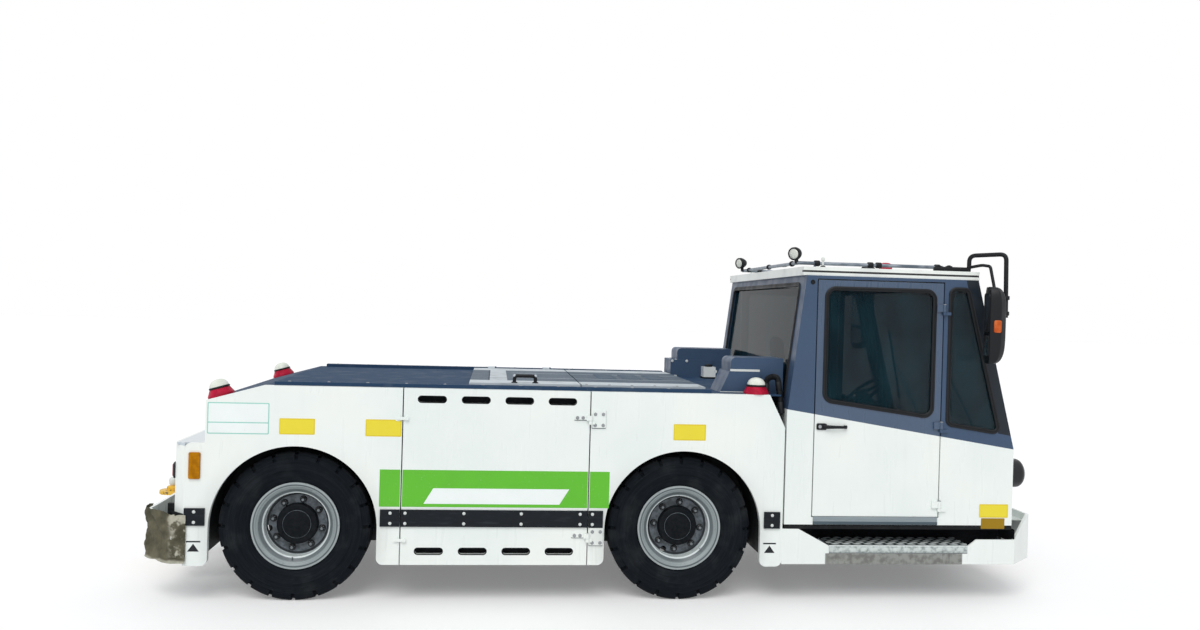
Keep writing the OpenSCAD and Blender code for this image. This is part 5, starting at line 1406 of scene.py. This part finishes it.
panes.append(plate(small, dash_face - 0.5, dash_face - 3.5, "x", 1.2))
piece("dash_screens", panes, screen_black)
switches = [
    plate(oblong(y - 11, y + 11, 1056, 1086, 3), dash_face, dash_face - 7, "x", 2.5)
    for y in (-30, 0, 30, 60, 90, 460, 490)
]
DIAL_KNOB = [(0, 10), (8, 9), (10, 0), (0, 0)]
switches += [lathe(DIAL_KNOB, (dash_face - 4, y, 1140), (-1, 0, 0), 24) for y in (460, 500)]
piece("dash_switches", switches, mirror_black)
grip_soft = Paint("grip_soft", Specular_IOR_Level=0.4)
grip_soft.set(
    Base_Color=grip_soft.worn(srgb(30, 31, 34), 0.2, 0.0),
    Roughness=grip_soft.ramp(grip_soft.noise(40.0), 0.3, 0.7, 0.42, 0.62),
).bump(grip_soft.noise(900.0, 2.0), 0.0005)
dress(grip_soft, "steering_wheel")
HORN = [(0, 14), (30, 13), (50, 7), (58, 0), (60, -12), (0, -12)]
TURNING_KNOB = [(0, 46), (14, 44), (20, 34), (20, 22), (10, 8), (8, 0), (0, 0)]
horn = [lathe(HORN, wheel_seat + axis * 42, axis, 40)]
across = unit(np.cross(axis, (0, 1, 0)))
width = np.array([24, 18, 15])[:, None, None]
for turn in (90, 210, 330):
    a = math.radians(turn)
    out = math.cos(a) * across * -1 + math.sin(a) * np.array([0, 1.0, 0])
    path = [wheel_seat + axis * up + out * far for up, far in ((30, 40), (33, 110), (31, 188))]
    horn.append(sweep(path, oblong(-1, 1, -0.5, 0.5, 0.4)[None] * width, axis))
knob = wheel_seat + axis * 44 + across * 200 * 0.5 + np.array([0, 173.2, 0])
horn.append(lathe(TURNING_KNOB, knob, axis, 24))
piece("horn_pad", horn, plastic, "steering_wheel", 50)
CARD = [[3640, 640], [3640, 1330], [4440, 1220], [4440, 640]]
CARD_PULL = [[3740, 1072, 1205], [3740, 1030, 1205], [3980, 1030, 1172], [3980, 1072, 1172]]
for name, side in SIDES.items():
    card = [plate(rounded(CARD, 40), side * 1079.5, side * 1070, "y", 4)]
    card.append(sweep(bends(np.array(CARD_PULL) * (1, side, 1), 26), disc(12, 14), (0, 0, 1)))
    piece("door_card_" + name, card, plastic, "cab_door_" + name, 40)

# Bumper wraps: tan kraft paper round the rear bumper's corners, creased by hand and
# pale where its coating has cracked. Each sheet is 565 by 360 mm before it is bent.
wrap_paper = Paint("wrap_paper", Specular_IOR_Level=0.15)
fibre = wrap_paper.noise(120.0, 4.0, stretch=(1, 1, 2.5))
stain = wrap_paper.noise(9.0, 5.0)
tan = wrap_paper.mix(wrap_paper.ramp(stain, 0.35, 0.7), srgb(72, 70, 56), srgb(106, 102, 84))
tan = wrap_paper.mix(wrap_paper.ramp(fibre, 0.55, 0.8) * 0.35, tan, srgb(56, 52, 41))
pale = wrap_paper.ramp(wrap_paper.noise(16.0, 6.0), 0.44, 0.56)
near_body = wrap_paper.ramp(wrap_paper.x + (stain - 0.5) * 0.1, -2.96, -2.91)
hem = wrap_paper.ramp(wrap_paper.z + (stain - 0.5) * 0.05, 0.3, 0.28)
cracked = (pale * near_body + hem * 0.8).at_most(0.9)
wrap_paper.set(
    Base_Color=wrap_paper.mix(cracked, tan, srgb(180, 178, 162)),
    Roughness=wrap_paper.ramp(fibre, 0.3, 0.7, 0.7, 0.9),
).bump(fibre, 0.0008)
rng = np.random.default_rng(8)


def creases(u, v, count, steep):
    """Height of crumpled paper: the mean of folds |sin(a u + b v + c)|, each along
    its own line, with a and b up to a steepness per millimetre."""
    heights = np.zeros(u.shape)
    for a, b, c in rng.uniform((-steep, -steep, 0), (steep, steep, 6.3), (count, 3)):
        heights += abs(np.sin(a * u + b * v + c))
    return heights / count


BUMPER_CORNER = [[-690, 1125, 0], [-785, 1125, 0], [-1000, 925, 0], [-1000, 770, 0]]
for name, side in SIDES.items():
    path = bends(np.array(BUMPER_CORNER) * (1, side, 1), 24, 9)
    run = np.r_[0, np.cumsum(np.linalg.norm(np.diff(path, axis=0), axis=1))]
    u = np.linspace(0, run[-1], 150)
    middle = np.stack([np.interp(u, run, path[:, k]) for k in range(3)], -1)
    ahead = unit(np.gradient(middle, axis=0))
    out = np.stack([-abs(ahead[:, 1]), side * abs(ahead[:, 0]), np.zeros(150)], -1)
    grid_u, share = np.meshgrid(u, np.linspace(0, 1, 96), indexing="ij")
    low = 262 + 14 * creases(grid_u, grid_u * 0, 5, 0.04)
    high = 584 + 34 * creases(grid_u, grid_u * 0, 6, 0.03) - 12 * (grid_u < 70)
    grid_v = low + (high - low) * share
    folds = creases(grid_u, grid_v, 5, 0.022) * 0.62 + creases(grid_u, grid_v, 9, 0.07) * 0.38
    lift = np.minimum(3 + 62 * (folds - 0.46).clip(0, 0.36), 25)
    sheet = middle[:, None] + out[:, None] * lift[..., None]
    sheet[..., 2] = grid_v
    made = piece(
        "wrap_" + name, [net(sheet, around=False, ends=False)], wrap_paper,
        sharp=14, replaced=["bumper_wraps"],
    )
    shell = made.modifiers.new("paper", "SOLIDIFY")
    shell.thickness, shell.offset = 0.0012, 0.0

# Studio: a pale floor that keeps the shadow, a white surround, one wide soft light
# from above on the near side, and the camera at the photograph's place.


def seen_share(nodes):
    """1 on rays from the camera, and on those from it by a mirror or through glass."""
    rays = nodes.node("LightPath").socket.node.outputs
    camera_ray, glossy, through = (
        Value(nodes, rays[f"Is {kind} Ray"]) for kind in ("Camera", "Glossy", "Transmission")
    )
    return (camera_ray + glossy + through).at_most(1.0)


floor = Paint("studio_floor", Roughness=0.6, Emission_Strength=1.0)
speck = floor.noise(3.0, 2.0)
floor.set(
    Base_Color=floor.mix(speck, srgb(232, 232, 232), srgb(236, 236, 236)),
    Emission_Color=floor.mix(seen_share(floor), (0, 0, 0, 1), (0.2, 0.2, 0.2, 1)),
)
mesh = bpy.data.meshes.new("floor")
mesh.from_pydata([(-90, -90, 0), (90, -90, 0), (90, 90, 0), (-90, 90, 0)], [], [(0, 1, 2, 3)])
mesh.materials.append(floor.material)
ground = bpy.data.objects.new("floor", mesh)
bpy.context.scene.collection.objects.link(ground)
world = bpy.data.worlds.new("surround")
world.use_nodes = True
bpy.context.scene.world = world
sky = Nodes(world.node_tree)
backdrop = world.node_tree.nodes["Background"]
sky.feed(
    backdrop.inputs["Color"], sky.mix(seen_share(sky), (0.56, 0.58, 0.61, 1), (1, 1, 1, 1))
)
lamp = bpy.data.lights.new("soft_light", "SUN")
lamp.energy, lamp.angle, lamp.color = 1.7, math.radians(40), (1.0, 0.985, 0.96)
light = bpy.data.objects.new("soft_light", lamp)
light.rotation_euler = (math.radians(38), math.radians(-14), 0)
bpy.context.scene.collection.objects.link(light)
eye = (-0.8412, -8.0187, 2.0248, 1.0)
yaw, pitch, roll = np.radians([5.971, -0.275, 1.579])
level = np.array([math.cos(yaw), -math.sin(yaw), 0])
ahead = np.array([math.sin(yaw), math.cos(yaw), 0])
sight = ahead * math.cos(pitch) + np.array([0, 0, math.sin(pitch)])
top = np.array([0, 0, math.cos(pitch)]) - ahead * math.sin(pitch)
right = level * math.cos(roll) + top * math.sin(roll)
up = top * math.cos(roll) - level * math.sin(roll)
lens_data = bpy.data.cameras.new("camera")
lens_data.lens, lens_data.sensor_width = 30.115, 36.0
camera = bpy.data.objects.new("camera", lens_data)
turned = np.vstack([np.column_stack([right, up, -sight]), (0, 0, 0)])
camera.matrix_world = Matrix(np.column_stack([turned, eye]).tolist())
bpy.context.scene.collection.objects.link(camera)
bpy.context.scene.camera = camera
bpy.context.scene.view_settings.view_transform = "Standard"
